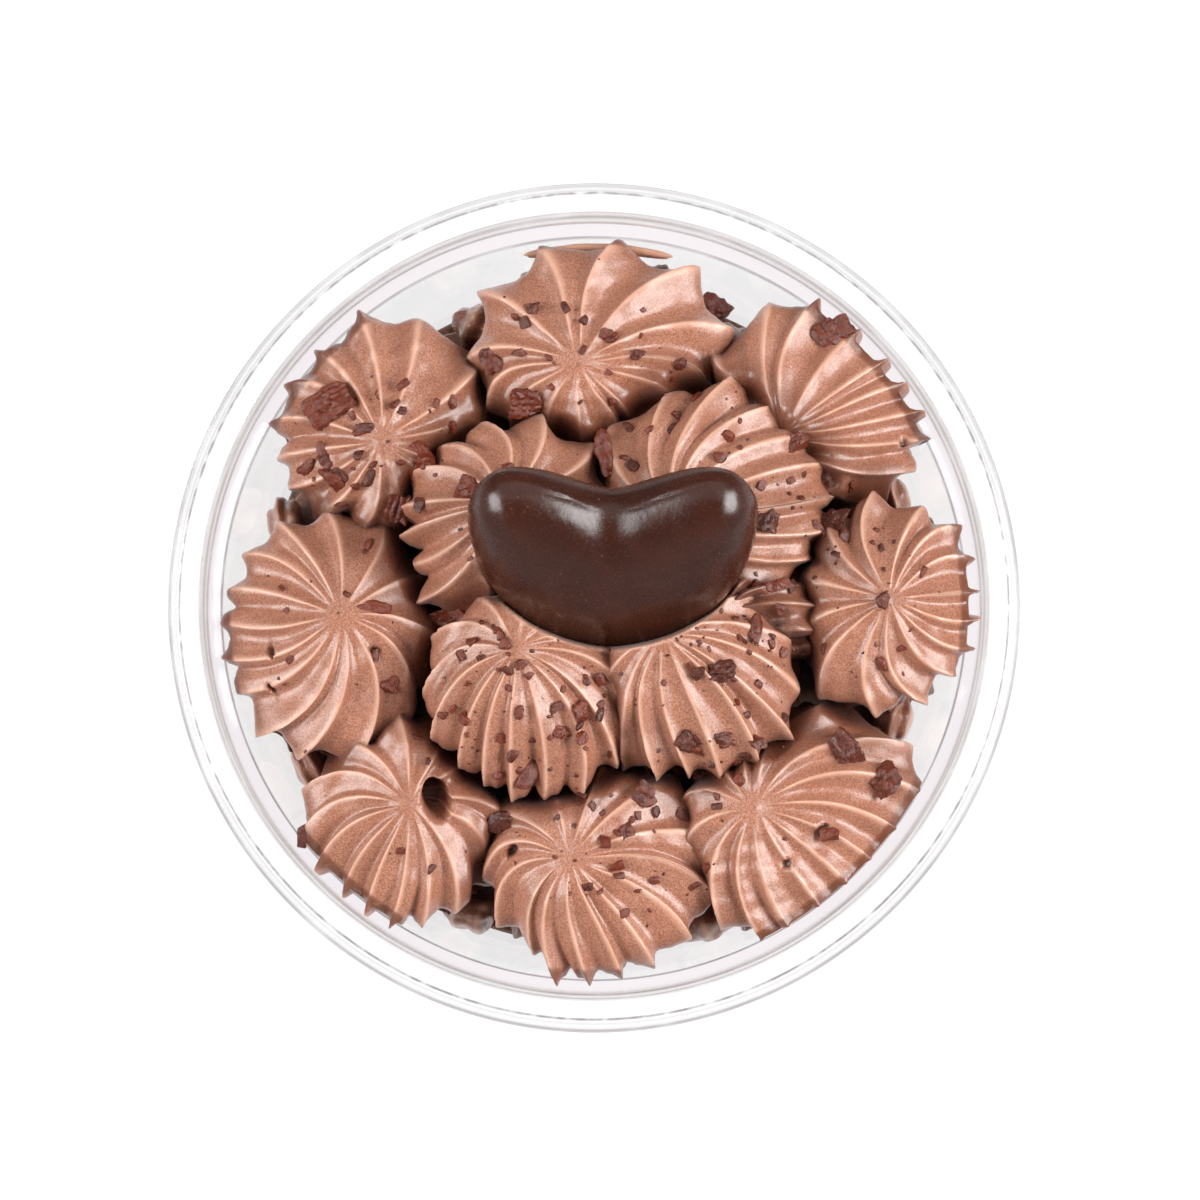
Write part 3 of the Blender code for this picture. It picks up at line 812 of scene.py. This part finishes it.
def press_heart(grid, heart_points):
    """Sinks the cream that would hide the heart behind its middle plane.

    Gives how near each point is to the lip of cream that stands along the heart's edge, where a highlight
    is painted.
    """
    seen, _ = from_camera(heart_points)
    hull = seen[convex_hull_2d(seen.tolist())]
    spots, ways = from_camera(grid)
    after = np.roll(hull, -1, 0) - hull
    normals = np.stack([-after[:, 1], after[:, 0]], -1) / np.linalg.norm(after, axis=1)[:, None]
    normals *= np.sign(((hull.mean(0) - hull) * normals).sum(-1))[:, None]
    inside = ((spots[..., None, :] - hull) * normals).sum(-1).min(-1) / HEART_PIXELS
    lean = math.radians(HEART_LEAN)
    plane = np.array((0, -math.sin(lean), math.cos(lean)))
    reach = (np.array(HEART_CENTRE) - CAMERA_PLACE) @ plane / (ways @ plane)
    in_front = reach > 1
    sink = smooth(*HEART_LIP, inside) * in_front
    far = np.linalg.norm(ways, axis=-1)
    grid += ways * (np.maximum(reach - 1 + HEART_BEHIND / far, 0) * sink)[..., None]
    return bell(inside - HEART_LIP[0], HEART_LIP_WIDTH) * in_front


def make_pile(heart_points):
    """Each rosette's points, faces and values, by name."""
    pile = {}
    for index, rosette in enumerate(ROSETTES):
        grid, ridge = rosette_grid(rosette)
        wet, deep = settle(rosette, grid, ridge, ROSETTES[:index])
        # The lip of cream along the heart gets the same painted highlight as the ridges.
        ridge = np.maximum(ridge, press_heart(grid, heart_points))
        bottom = (*rosette.middle[:2], float(grid[0, :, 2].mean()))
        top = grid[-1].mean(0) + (0, 0, TIP_RISE)
        points, faces = closed_rings(grid, bottom, top)
        values = {
            "ridge": np.append(ridge.reshape(-1), [0, 0]),
            "wet": np.append(wet.reshape(-1), [0, 0]),
            # Painted shade, full at the bottom point.
            "deep": np.append(deep.reshape(-1), [1, 0]),
            "pit": np.zeros(len(points)),
        }
        pile[rosette.name] = (points, faces, values)
    return pile


class Surface:
    """The pieces' surfaces together, for casting the photograph's points onto them."""

    def __init__(self, parts):
        self.names, self.owners, points, faces = list(parts), [], [], []
        count = 0
        for index, name in enumerate(self.names):
            part_points, part_faces = parts[name]
            points.extend(map(tuple, part_points))
            faces.extend(tuple(i + count for i in face) for face in part_faces)
            self.owners.extend([index] * len(part_faces))
            count += len(part_points)
        self.tree = BVHTree.FromPolygons(points, faces)

    def seen_at(self, x, y):
        """What the camera sees at a photo point: place and normal in mm, and the piece's name."""
        ray = Vector((x - PHOTO_SIZE / 2, PHOTO_SIZE / 2 - y, -PHOTO_FOCAL))
        ray.rotate(Matrix.Rotation(math.radians(CAMERA_TILT), 3, "X"))
        spot, normal, face, _ = self.tree.ray_cast(Vector(CAMERA_PLACE), ray.normalized())
        if spot is None:
            return None, None, None
        return spot, normal, self.names[self.owners[face]]


def lie_on(normal, turn, upright=0.5):
    """Axes for a thing that lies on a surface, its length turned by turn as seen from above."""
    up = (normal * (1 - upright) + Vector((0, 0, upright))).normalized()
    along = Vector((math.cos(math.radians(turn)), math.sin(math.radians(turn)), 0))
    along = (along - up * along.dot(up)).normalized()
    return Matrix((along, up.cross(along), up)).transposed()


def press_pits(pile, surface):
    """Presses each pit into the rosette where it shows, and marks it for painted shade inside."""
    for pit in PITS:
        spot, normal, name = surface.seen_at(pit.x, pit.y)
        if name not in pile:
            continue
        points, _, values = pile[name]
        axes = lie_on(normal, pit.turn)
        local = (points - np.array(spot)) @ np.array(axes)
        away = np.hypot(local[:, 0] / (pit.length / 2), local[:, 1] / (pit.width / 2))
        near = np.abs(local[:, 2]) < 4
        sink = pit.depth * smooth(1.1, 0.7, away) * near
        points -= np.array(axes.col[2])[None] * sink[:, None]
        # Painted shade inside the pit.
        values["pit"] = np.maximum(values["pit"], smooth(1.05, 0.5, away) * near)


# ---- heart


def heart_outline(turns):
    """The outline of the heart in its own plane, lobes at +Y."""
    x = np.sign(np.sin(turns)) * np.abs(np.sin(turns)) ** HEART_FULLNESS * HEART_WIDTH / 2
    y = sum(size * np.cos((i + 1) * turns) for i, size in enumerate(HEART_WAVES))
    return np.stack([x, y], -1)


def puff(flat, edge):
    """How high a blown-up cushion is at points inside its edge, from 0 to 1."""
    away = np.linalg.norm(flat[:, None] - edge[None], axis=-1).min(1)
    inward = 1 - np.minimum(away / HEART_PUFF_DEPTH, 1)
    return (1 - inward**HEART_POWER) ** (1 / HEART_POWER)


def make_heart():
    """The heart as a cushion, with a soft crease down from its notch and a fine seam round it."""
    turns = -TAU * (np.arange(HEART_SEGMENTS) + 0.5) / HEART_SEGMENTS
    edge = heart_outline(turns)
    notch = float(sum(HEART_WAVES))
    seam_out, seam_width = HEART_SEAM
    ripple_high, ripple_long = HEART_RIPPLE
    rings = []
    for level in np.linspace(-1, 1, 2 * HEART_RINGS + 1)[1:-1]:
        share = math.cos(level * math.pi / 2)
        thickness = HEART_FRONT if level > 0 else HEART_BACK
        flat = edge * share
        rise = (1 - share**HEART_POWER) ** (1 / HEART_POWER)
        if level > 0:
            rise = rise * (1 - HEART_PUFF) + HEART_PUFF * puff(flat, edge)
        rise = rise * math.copysign(thickness, level)
        crease = bell(flat[:, 0], HEART_CREASE_WIDTH)
        crease = crease * smooth(HEART_CREASE_END, notch, flat[:, 1])
        height = rise * (1 - HEART_CREASE * crease * (level > 0))
        seam = 1 + seam_out * bell(level, seam_width)
        rings.append(np.concatenate([flat * seam, height[:, None]], -1))
    grid = np.array(rings)
    grid += ripple_high * ripple(grid, ripple_long, "heart")[..., None]
    points, faces = closed_rings(grid, (0, 0, -HEART_BACK), (0, 0, HEART_FRONT))
    lean = Matrix.Rotation(math.radians(HEART_LEAN), 3, "X")
    points = points @ np.array(lean).T + HEART_CENTRE
    return points, faces


# ---- nibs and crumbs


def broken_bit(directions, draw, kind):
    """A rough convex bit of about unit half-size, bounded by random flat cuts."""
    cuts, sharpness, least, thickness = BREAKS[kind]
    normals = draw.normal(size=(cuts, 3))
    normals /= np.linalg.norm(normals, axis=1, keepdims=True)
    distance = draw.uniform(least, 1.0, cuts)
    facing = np.maximum(directions @ normals.T, 0) / distance
    reach = (facing**sharpness).sum(1) + (np.abs(directions) ** sharpness).sum(1)
    return directions * (reach ** (-1 / sharpness))[:, None], thickness


def shape_nib(nib, directions, number):
    """A nib in its own axes, in mm: length along x, thickness along z."""
    body, thickness = broken_bit(directions, rng("nib", number), nib.kind)
    if nib.kind == "oval":
        body[:, 1] *= 1 - OVAL_TAPER * body[:, 0] ** 2
    body *= (nib.length / 2, nib.width / 2, nib.width * thickness / 2)
    uneven = 0
    for word, (share, size) in (("lumps", NIB_LUMPS), ("grit", NIB_GRIT)):
        uneven = uneven + share * nib.width * ripple(body, size, word, number)
    shaped = body + directions * uneven[:, None]
    if nib.kind == "ridged":
        groove = np.abs(np.sin(body[:, 1] * math.pi / GROOVE_PITCH)) ** 0.6
        shaped[:, 2] += GROOVE_DEPTH * (groove - 1) * (body[:, 2] > 0)
        strip = np.rint(body[:, 1] / GROOVE_PITCH)
        shaped[:, 0] += GROOVE_ENDS * np.sin(strip * 2.4) * np.sign(body[:, 0])
    return shaped


def join_cocoa(name, bits, tones):
    """One mesh of all bits, sharp along their breaks, each with its own tone."""
    points, faces = scatter(bits)
    tone = np.repeat(tones, [len(bit_points) for bit_points, _ in bits])
    made = add_mesh(name, points, faces, {"tone": tone})
    made.data.set_sharp_from_angle(angle=math.radians(NIB_SHARP_DEGREES))
    return made


def make_nibs(surface):
    """The nibs, each where the photograph shows it, lying on whatever the camera sees there."""
    directions, faces = ball(4)
    bits, tones = [], []
    for number, nib in enumerate(NIBS):
        spot, normal, name = surface.seen_at(nib.x, nib.y)
        if name is None:
            continue
        axes = np.array(lie_on(normal, nib.turn))
        body = shape_nib(nib, directions, number)
        lift = np.array(lie_on(normal, 0).col[2]) * nib.width * NIB_LIFT
        bits.append((body @ axes.T + spot + lift, faces))
        tones.append(rng("tone", number).uniform(0, 1))
    return join_cocoa("cocoa_nibs", bits, tones)


def make_crumbs(surface):
    """Small crumbs in patches, each lying where it would fall."""
    directions, faces = ball(3)
    draw = rng("crumbs")
    bits, tones = [], []
    low, high = CRUMB_SIZES
    for x, y, radius, count in CRUMB_PATCHES:
        for _ in range(count):
            turn, out = draw.uniform(0, TAU), radius * math.sqrt(draw.uniform(0, 1))
            size = low + (high - low) * draw.uniform(0, 1) ** CRUMB_SKEW
            spot, normal, name = surface.seen_at(x + out * math.cos(turn), y + out * math.sin(turn))
            width = size * draw.uniform(0.5, 0.9)
            body, thickness = broken_bit(directions, draw, "crumb")
            body *= (size / 2, width / 2, width * thickness / 2)
            tone = draw.uniform(0, 1)
            if name in (None, "heart") or normal.z < CRUMB_LEAST_UPRIGHT:
                continue
            axes = np.array(lie_on(normal, draw.uniform(0, 360), 0.2))
            lift = np.array(normal) * width * CRUMB_LIFT
            bits.append((body @ axes.T + spot + lift, faces))
            tones.append(tone)
    return join_cocoa("cocoa_crumbs", bits, tones)


# ---- materials


class Nodes:
    """Short calls for building one material's nodes."""

    def __init__(self, name):
        self.material = bpy.data.materials.new(name)
        self.material.use_nodes = True
        self.tree = self.material.node_tree
        self.shader = self.tree.nodes["Principled BSDF"]
        self.output = self.tree.nodes["Material Output"]
        self.place = self.add("ShaderNodeTexCoord").outputs["Object"]

    def add(self, kind, inputs=None, **settings):
        """A node, with its inputs linked or set, and its settings."""
        node = self.tree.nodes.new(kind)
        for key, value in settings.items():
            setattr(node, key, value)
        self.feed(node, inputs or {})
        return node

    def feed(self, node, inputs):
        """Links each input to a socket, or sets it to a value."""
        for key, value in inputs.items():
            if isinstance(value, bpy.types.NodeSocket):
                self.tree.links.new(value, node.inputs[key])
            else:
                node.inputs[key].default_value = value

    def noise(self, size, detail=3.0, roughness=0.55):
        """Noise from 0 to 1 with features about size mm across."""
        scale = 1 / (size * MM)
        inputs = {"Vector": self.place, "Scale": scale, "Detail": detail, "Roughness": roughness}
        return self.add("ShaderNodeTexNoise", inputs).outputs["Fac"]

    def cells(self, size):
        """Distance to the middle of the nearest cell, cells about size mm across."""
        inputs = {"Vector": self.place, "Scale": 1 / (size * MM)}
        return self.add("ShaderNodeTexVoronoi", inputs).outputs["Distance"]

    def value(self, name):
        """A value that the mesh holds at its points."""
        return self.add("ShaderNodeAttribute", attribute_name=name).outputs["Fac"]

    def spread(self, value, low, high, to_low=0.0, to_high=1.0):
        """Maps low..high onto to_low..to_high, clamped."""
        inputs = {0: value, 1: low, 2: high, 3: to_low, 4: to_high}
        return self.add("ShaderNodeMapRange", inputs).outputs[0]

    def maths(self, operation, a, b):
        """What an operation makes of two values."""
        return self.add("ShaderNodeMath", {0: a, 1: b}, operation=operation).outputs[0]

    def mix(self, factor, a, b):
        """A mix of two colours."""
        return self.add("ShaderNodeMix", {0: factor, 6: a, 7: b}, data_type="RGBA").outputs[2]

    def coats(self, base, *coats):
        """Colours laid over base, each where a value lies between two, from one strength to another."""
        for value, low, high, least, most, colour in coats:
            base = self.mix(self.spread(value, low, high, least, most), base, srgb(*colour))
        return base

    def bump(self, height, distance, strength=1.0, over=None):
        """A normal bent by a height of up to distance mm, over another normal."""
        inputs = {"Height": height, "Distance": distance * MM, "Strength": strength}
        if over is not None:
            inputs["Normal"] = over
        return self.add("ShaderNodeBump", inputs).outputs["Normal"]

    def finish(self, colour=None, roughness=None, normal=None, **plain):
        """The material, with its colour, roughness and normal, and plain numbers by socket name."""
        plain.update(Base_Color=colour, Roughness=roughness, Normal=normal)
        given = {key.replace("_", " "): value for key, value in plain.items() if value is not None}
        self.feed(self.shader, given)
        return self.material


def cream_material():
    """Whipped chocolate cream: finely grained, with a soft wet gloss, painted paler on its thin ridges as
    a highlight and darker as shade where it lies low.
    """
    n = Nodes("cream")
    speckle = n.noise(0.26, 2.0, 0.75)
    cloud = n.noise(9.0, 2.0)
    base = n.mix(n.spread(cloud, 0.3, 0.7), srgb(182, 124, 99), srgb(198, 140, 115))
    base = n.coats(
        base,
        (speckle, 0.41, 0.59, 0.0, 0.75, (136, 80, 56)),
        # Painted highlight along the ridges, the lip by the heart, the smears and the folds.
        (n.value("ridge"), 0.1, 1.0, 0.0, 0.85, (228, 177, 152)),
        # Painted shade where the cream lies low and shut in.
        (n.value("deep"), 0.1, 1.0, 0.0, 0.92, (92, 43, 22)),
        (n.value("wet"), 0.35, 1.0, 0.0, 0.9, (116, 62, 36)),
        # Painted shade inside the pits.
        (n.value("pit"), 0.2, 1.0, 0.0, 0.9, (70, 42, 32)),
    )
    pores = n.spread(n.cells(0.8), 0.10, 0.26, 0.0, 1.0)
    fine = n.bump(speckle, 0.08, 0.7, n.bump(n.noise(1.3, 3.0), 0.12, 0.5))
    normal = n.bump(pores, 0.05, 0.5, fine)
    rough = n.spread(n.noise(1.6, 3.0), 0.35, 0.65, 0.26, 0.44)
    soft = {"Subsurface_Weight": 0.10, "Subsurface_Scale": MM, "Subsurface_Radius": (1.6, 0.7, 0.45)}
    gloss = {"Specular_IOR_Level": 0.55, "Coat_Weight": 0.5, "Coat_Roughness": 0.27}
    sheen = {"Sheen_Weight": 0.12, "Sheen_Roughness": 0.35, "Sheen_Tint": (0.86, 0.82, 0.90, 1.0)}
    return n.finish(base, rough, normal, **soft, **gloss, **sheen)


def sponge_material():
    """Chocolate sponge soaked in milk, seen against the clear wall."""
    n = Nodes("sponge")
    crumb = n.noise(0.45, 4.0, 0.7)
    clump = n.noise(1.6, 3.0, 0.6)
    holes = n.spread(n.noise(2.4, 4.0, 0.62), 0.34, 0.44)
    pores = n.spread(n.noise(0.9, 3.0, 0.6), 0.36, 0.44)
    soaked = n.spread(n.noise(9.0, 3.0), 0.45, 0.62)
    base = n.mix(n.spread(crumb, 0.35, 0.65), srgb(84, 50, 34), srgb(132, 88, 64))
    base = n.coats(
        base,
        (clump, 0.5, 0.7, 0.0, 0.5, (150, 106, 80)),
        (soaked, 0.0, 1.0, 0.0, 0.5, (96, 58, 40)),
        # Painted shade inside the pores and holes.
        (pores, 0.0, 1.0, 0.6, 0.0, (54, 30, 21)),
        (holes, 0.0, 1.0, 0.85, 0.0, (40, 22, 15)),
    )
    lower = n.bump(pores, 0.2, 0.6, n.bump(holes, 0.45, 0.7))
    normal = n.bump(crumb, 0.15, 0.6, lower)
    return n.finish(base, n.spread(soaked, 0.0, 1.0, 0.62, 0.4), normal)


def chocolate_material():
    """The moulded heart: dark, satin, with faint bloom and a few golden specks."""
    n = Nodes("dark_chocolate")
    cloud = n.noise(7.0, 4.0)
    grain = n.noise(0.4, 3.0, 0.6)
    base = n.mix(n.spread(cloud, 0.35, 0.65), srgb(54, 21, 10), srgb(67, 31, 20))
    specks = n.spread(n.cells(1.15), 0.05, 0.085, 1.0, 0.0)
    sparse = n.spread(n.noise(3.0, 1.0), 0.52, 0.6)
    base = n.mix(n.maths("MULTIPLY", specks, sparse), base, srgb(150, 104, 66))
    base = n.mix(n.spread(grain, 0.55, 0.8, 0.0, 0.35), base, srgb(92, 62, 56))
    normal = n.bump(grain, 0.03, 0.5, n.bump(n.noise(2.5, 3.0), 0.15, 0.35))
    rough = n.spread(grain, 0.3, 0.7, 0.20, 0.30)
    return n.finish(base, rough, normal, Specular_IOR_Level=0.62)


def nib_material():
    """Cocoa nibs: reddish brown, glossy on their broken faces, with pale flecks painted as highlights and
    dark flecks painted as shade in the cracks.
    """
    n = Nodes("cocoa_nib")
    grain = n.noise(0.35, 4.0, 0.7)
    patch = n.noise(1.2, 3.0)
    tone = n.value("tone")
    base = n.mix(n.spread(patch, 0.35, 0.65), srgb(78, 30, 18), srgb(114, 52, 34))
    base = n.coats(
        base,
        (tone, 0.3, 1.0, 0.0, 0.6, (132, 54, 28)),
        (tone, 0.0, 0.35, 0.5, 0.0, (54, 24, 19)),
        # Painted highlights in pale flecks, and painted shade in dark flecks.
        (grain, 0.58, 0.75, 0.0, 0.5, (150, 92, 74)),
        (grain, 0.3, 0.45, 0.75, 0.0, (42, 17, 12)),
    )
    normal = n.bump(grain, 0.14, 0.9)
    return n.finish(base, n.spread(patch, 0.3, 0.7, 0.18, 0.38), normal, Specular_IOR_Level=0.55)


def clear_material():
    """Clear plastic: see-through, with painted shade: a little grey edge on, a faint band over the ledge,
    and thin broken lines where the rim bends.
    """
    n = Nodes("clear_plastic")
    n.tree.nodes.remove(n.shader)
    flat = n.add("ShaderNodeVectorMath", {0: n.place, 1: (1, 1, 0)}, operation="MULTIPLY")
    radius = n.add("ShaderNodeVectorMath", {0: flat.outputs[0]}, operation="LENGTH").outputs["Value"]
    facing = n.add("ShaderNodeLayerWeight", {"Blend": 0.5}).outputs["Facing"]
    edge_on = n.maths("POWER", n.spread(facing, 0.6, 1.0), 2.0)
    tint = n.mix(edge_on, CLEAR_TINT, EDGE_TINT)
    start, end = BAND
    band_in = n.spread(radius, start * MM, (start + BAND_SOFT) * MM)
    band_out = n.spread(radius, (end - BAND_SOFT) * MM, end * MM, 1.0, 0.0)
    band = n.maths("MULTIPLY", band_in, band_out)
    tint = n.mix(n.maths("MULTIPLY", band, BAND_STRENGTH), tint, BAND_TINT)
    for ring in RINGS:
        off = n.maths("ABSOLUTE", n.maths("SUBTRACT", radius, ring.radius * MM), 0.0)
        line = n.spread(off, ring.width * 0.25 * MM, ring.width * MM, ring.strength, 0.0)
        broken = n.spread(n.noise(ring.dash, 2.0), 0.36, 0.56, 1 - ring.broken, 1.0)
        tint = n.mix(n.maths("MULTIPLY", line, broken), tint, ring.colour)
    through = n.add("ShaderNodeBsdfTransparent", {"Color": tint}).outputs[0]
    gloss = n.add("ShaderNodeBsdfGlossy", {"Color": (1, 1, 1, 1), "Roughness": 0.05}).outputs[0]
    mirrored = n.add("ShaderNodeFresnel", {"IOR": PLASTIC_IOR}).outputs[0]
    share = n.maths("MULTIPLY", mirrored, MIRROR_SHARE)
    both = n.add("ShaderNodeMixShader", {0: share, 1: through, 2: gloss}).outputs[0]
    n.tree.links.new(both, n.output.inputs["Surface"])
    return n.material


def floor_material():
    """A dark sheet that glows white round the cup, painted light that washes out the shadows there, and
    fades to plain pale grey further out.
    """
    n = Nodes("floor")
    away = n.add("ShaderNodeVectorMath", {0: n.place}, operation="LENGTH").outputs["Value"]
    glow = n.spread(away, *FLOOR_FADE, *FLOOR_GLOW)
    n.tree.links.new(glow, n.shader.inputs["Emission Strength"])
    return n.finish(FLOOR_COLOUR, 0.9, Emission_Color=(1, 1, 1, 1))


# ---- stage


def make_floor():
    """A plain sheet under the cup, far wider than the picture."""
    corners = [(x, y, 0) for x, y in ((-1, -1), (1, -1), (1, 1), (-1, 1))]
    floor = add_mesh("floor", np.array(corners) * FLOOR_HALF_WIDTH, [(0, 1, 2, 3)])
    floor.data.materials.append(floor_material())


def make_camera():
    """The photograph's camera."""
    camera = bpy.data.cameras.new("camera")
    camera.sensor_width = SENSOR
    camera.lens = SENSOR * PHOTO_FOCAL / PHOTO_SIZE
    camera.clip_end = 20
    view = bpy.data.objects.new("camera", camera)
    view.location = Vector(CAMERA_PLACE) * MM
    view.rotation_euler = (math.radians(CAMERA_TILT), 0, 0)
    bpy.context.scene.collection.objects.link(view)
    bpy.context.scene.camera = view


def make_light(name, place, size, power):
    """A soft box that faces the cup."""
    light = bpy.data.lights.new(name, "AREA")
    light.shape = "RECTANGLE"
    light.size, light.size_y = size
    light.energy = power
    made = bpy.data.objects.new(name, light)
    bpy.context.scene.collection.objects.link(made)
    made.location = place
    away = Vector(place) - Vector(LIGHTS_AIM)
    made.rotation_euler = away.to_track_quat("Z", "Y").to_euler()


def make_sky():
    """The light of the room, which fades along SKY_AXIS."""
    world = bpy.data.worlds.new("studio")
    world.use_nodes = True
    nodes, links = world.node_tree.nodes, world.node_tree.links
    sky = nodes["Background"]
    sky.inputs["Color"].default_value = (1.0, 1.0, 1.0, 1.0)
    way = nodes.new("ShaderNodeTexCoord").outputs["Generated"]
    along = nodes.new("ShaderNodeVectorMath")
    along.operation = "DOT_PRODUCT"
    along.inputs[1].default_value = SKY_AXIS
    links.new(way, along.inputs[0])
    fade = nodes.new("ShaderNodeMapRange")
    links.new(along.outputs["Value"], fade.inputs[0])
    for socket, value in zip(fade.inputs[1:5], (SKY_FROM, SKY_TO, SKY_LOW, SKY_HIGH)):
        socket.default_value = value
    links.new(fade.outputs[0], sky.inputs["Strength"])
    bpy.context.scene.world = world
    bpy.context.scene.view_settings.view_transform = "Standard"


def place(piece, finish, slot, *nodes):
    """Gives a piece its material, lets it ride on the body, and puts it in place of nodes. The slot is
    not used.
    """
    piece.data.materials.append(finish)
    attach(piece, "root")
    if nodes:
        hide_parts(*nodes)


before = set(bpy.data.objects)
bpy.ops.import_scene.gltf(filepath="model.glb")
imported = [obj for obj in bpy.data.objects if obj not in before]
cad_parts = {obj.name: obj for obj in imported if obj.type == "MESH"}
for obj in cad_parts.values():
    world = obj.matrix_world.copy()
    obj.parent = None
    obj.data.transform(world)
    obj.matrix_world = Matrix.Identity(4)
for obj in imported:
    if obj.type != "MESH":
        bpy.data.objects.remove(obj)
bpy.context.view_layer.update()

cream = cream_material()
nib = nib_material()
make_floor()
make_camera()
for light in LIGHTS:
    make_light(*light)
make_sky()

place(make_cup(), clear_material(), "clear_plastic", "cup")
place(make_cake(), sponge_material(), "sponge", "cake")
place(make_bed(), cream, "cream", "cream_bed")
place(make_smears(), cream, "cream")
place(make_folds(), cream, "cream")

heart_points, heart_faces = make_heart()
pile = make_pile(heart_points)
parts = {name: (points, faces) for name, (points, faces, _) in pile.items()}
surface = Surface({**parts, "heart": (heart_points, heart_faces)})
press_pits(pile, surface)
for name, (points, faces, values) in pile.items():
    piece = add_mesh(f"piped_{name}", points, faces, values)
    place(piece, cream, "cream", f"rosette_{name}")
heart = add_mesh("chocolate_heart", heart_points, heart_faces)
place(heart, chocolate_material(), "dark_chocolate", "heart")
place(make_nibs(surface), nib, "cocoa_nib")
place(make_crumbs(surface), nib, "cocoa_nib")
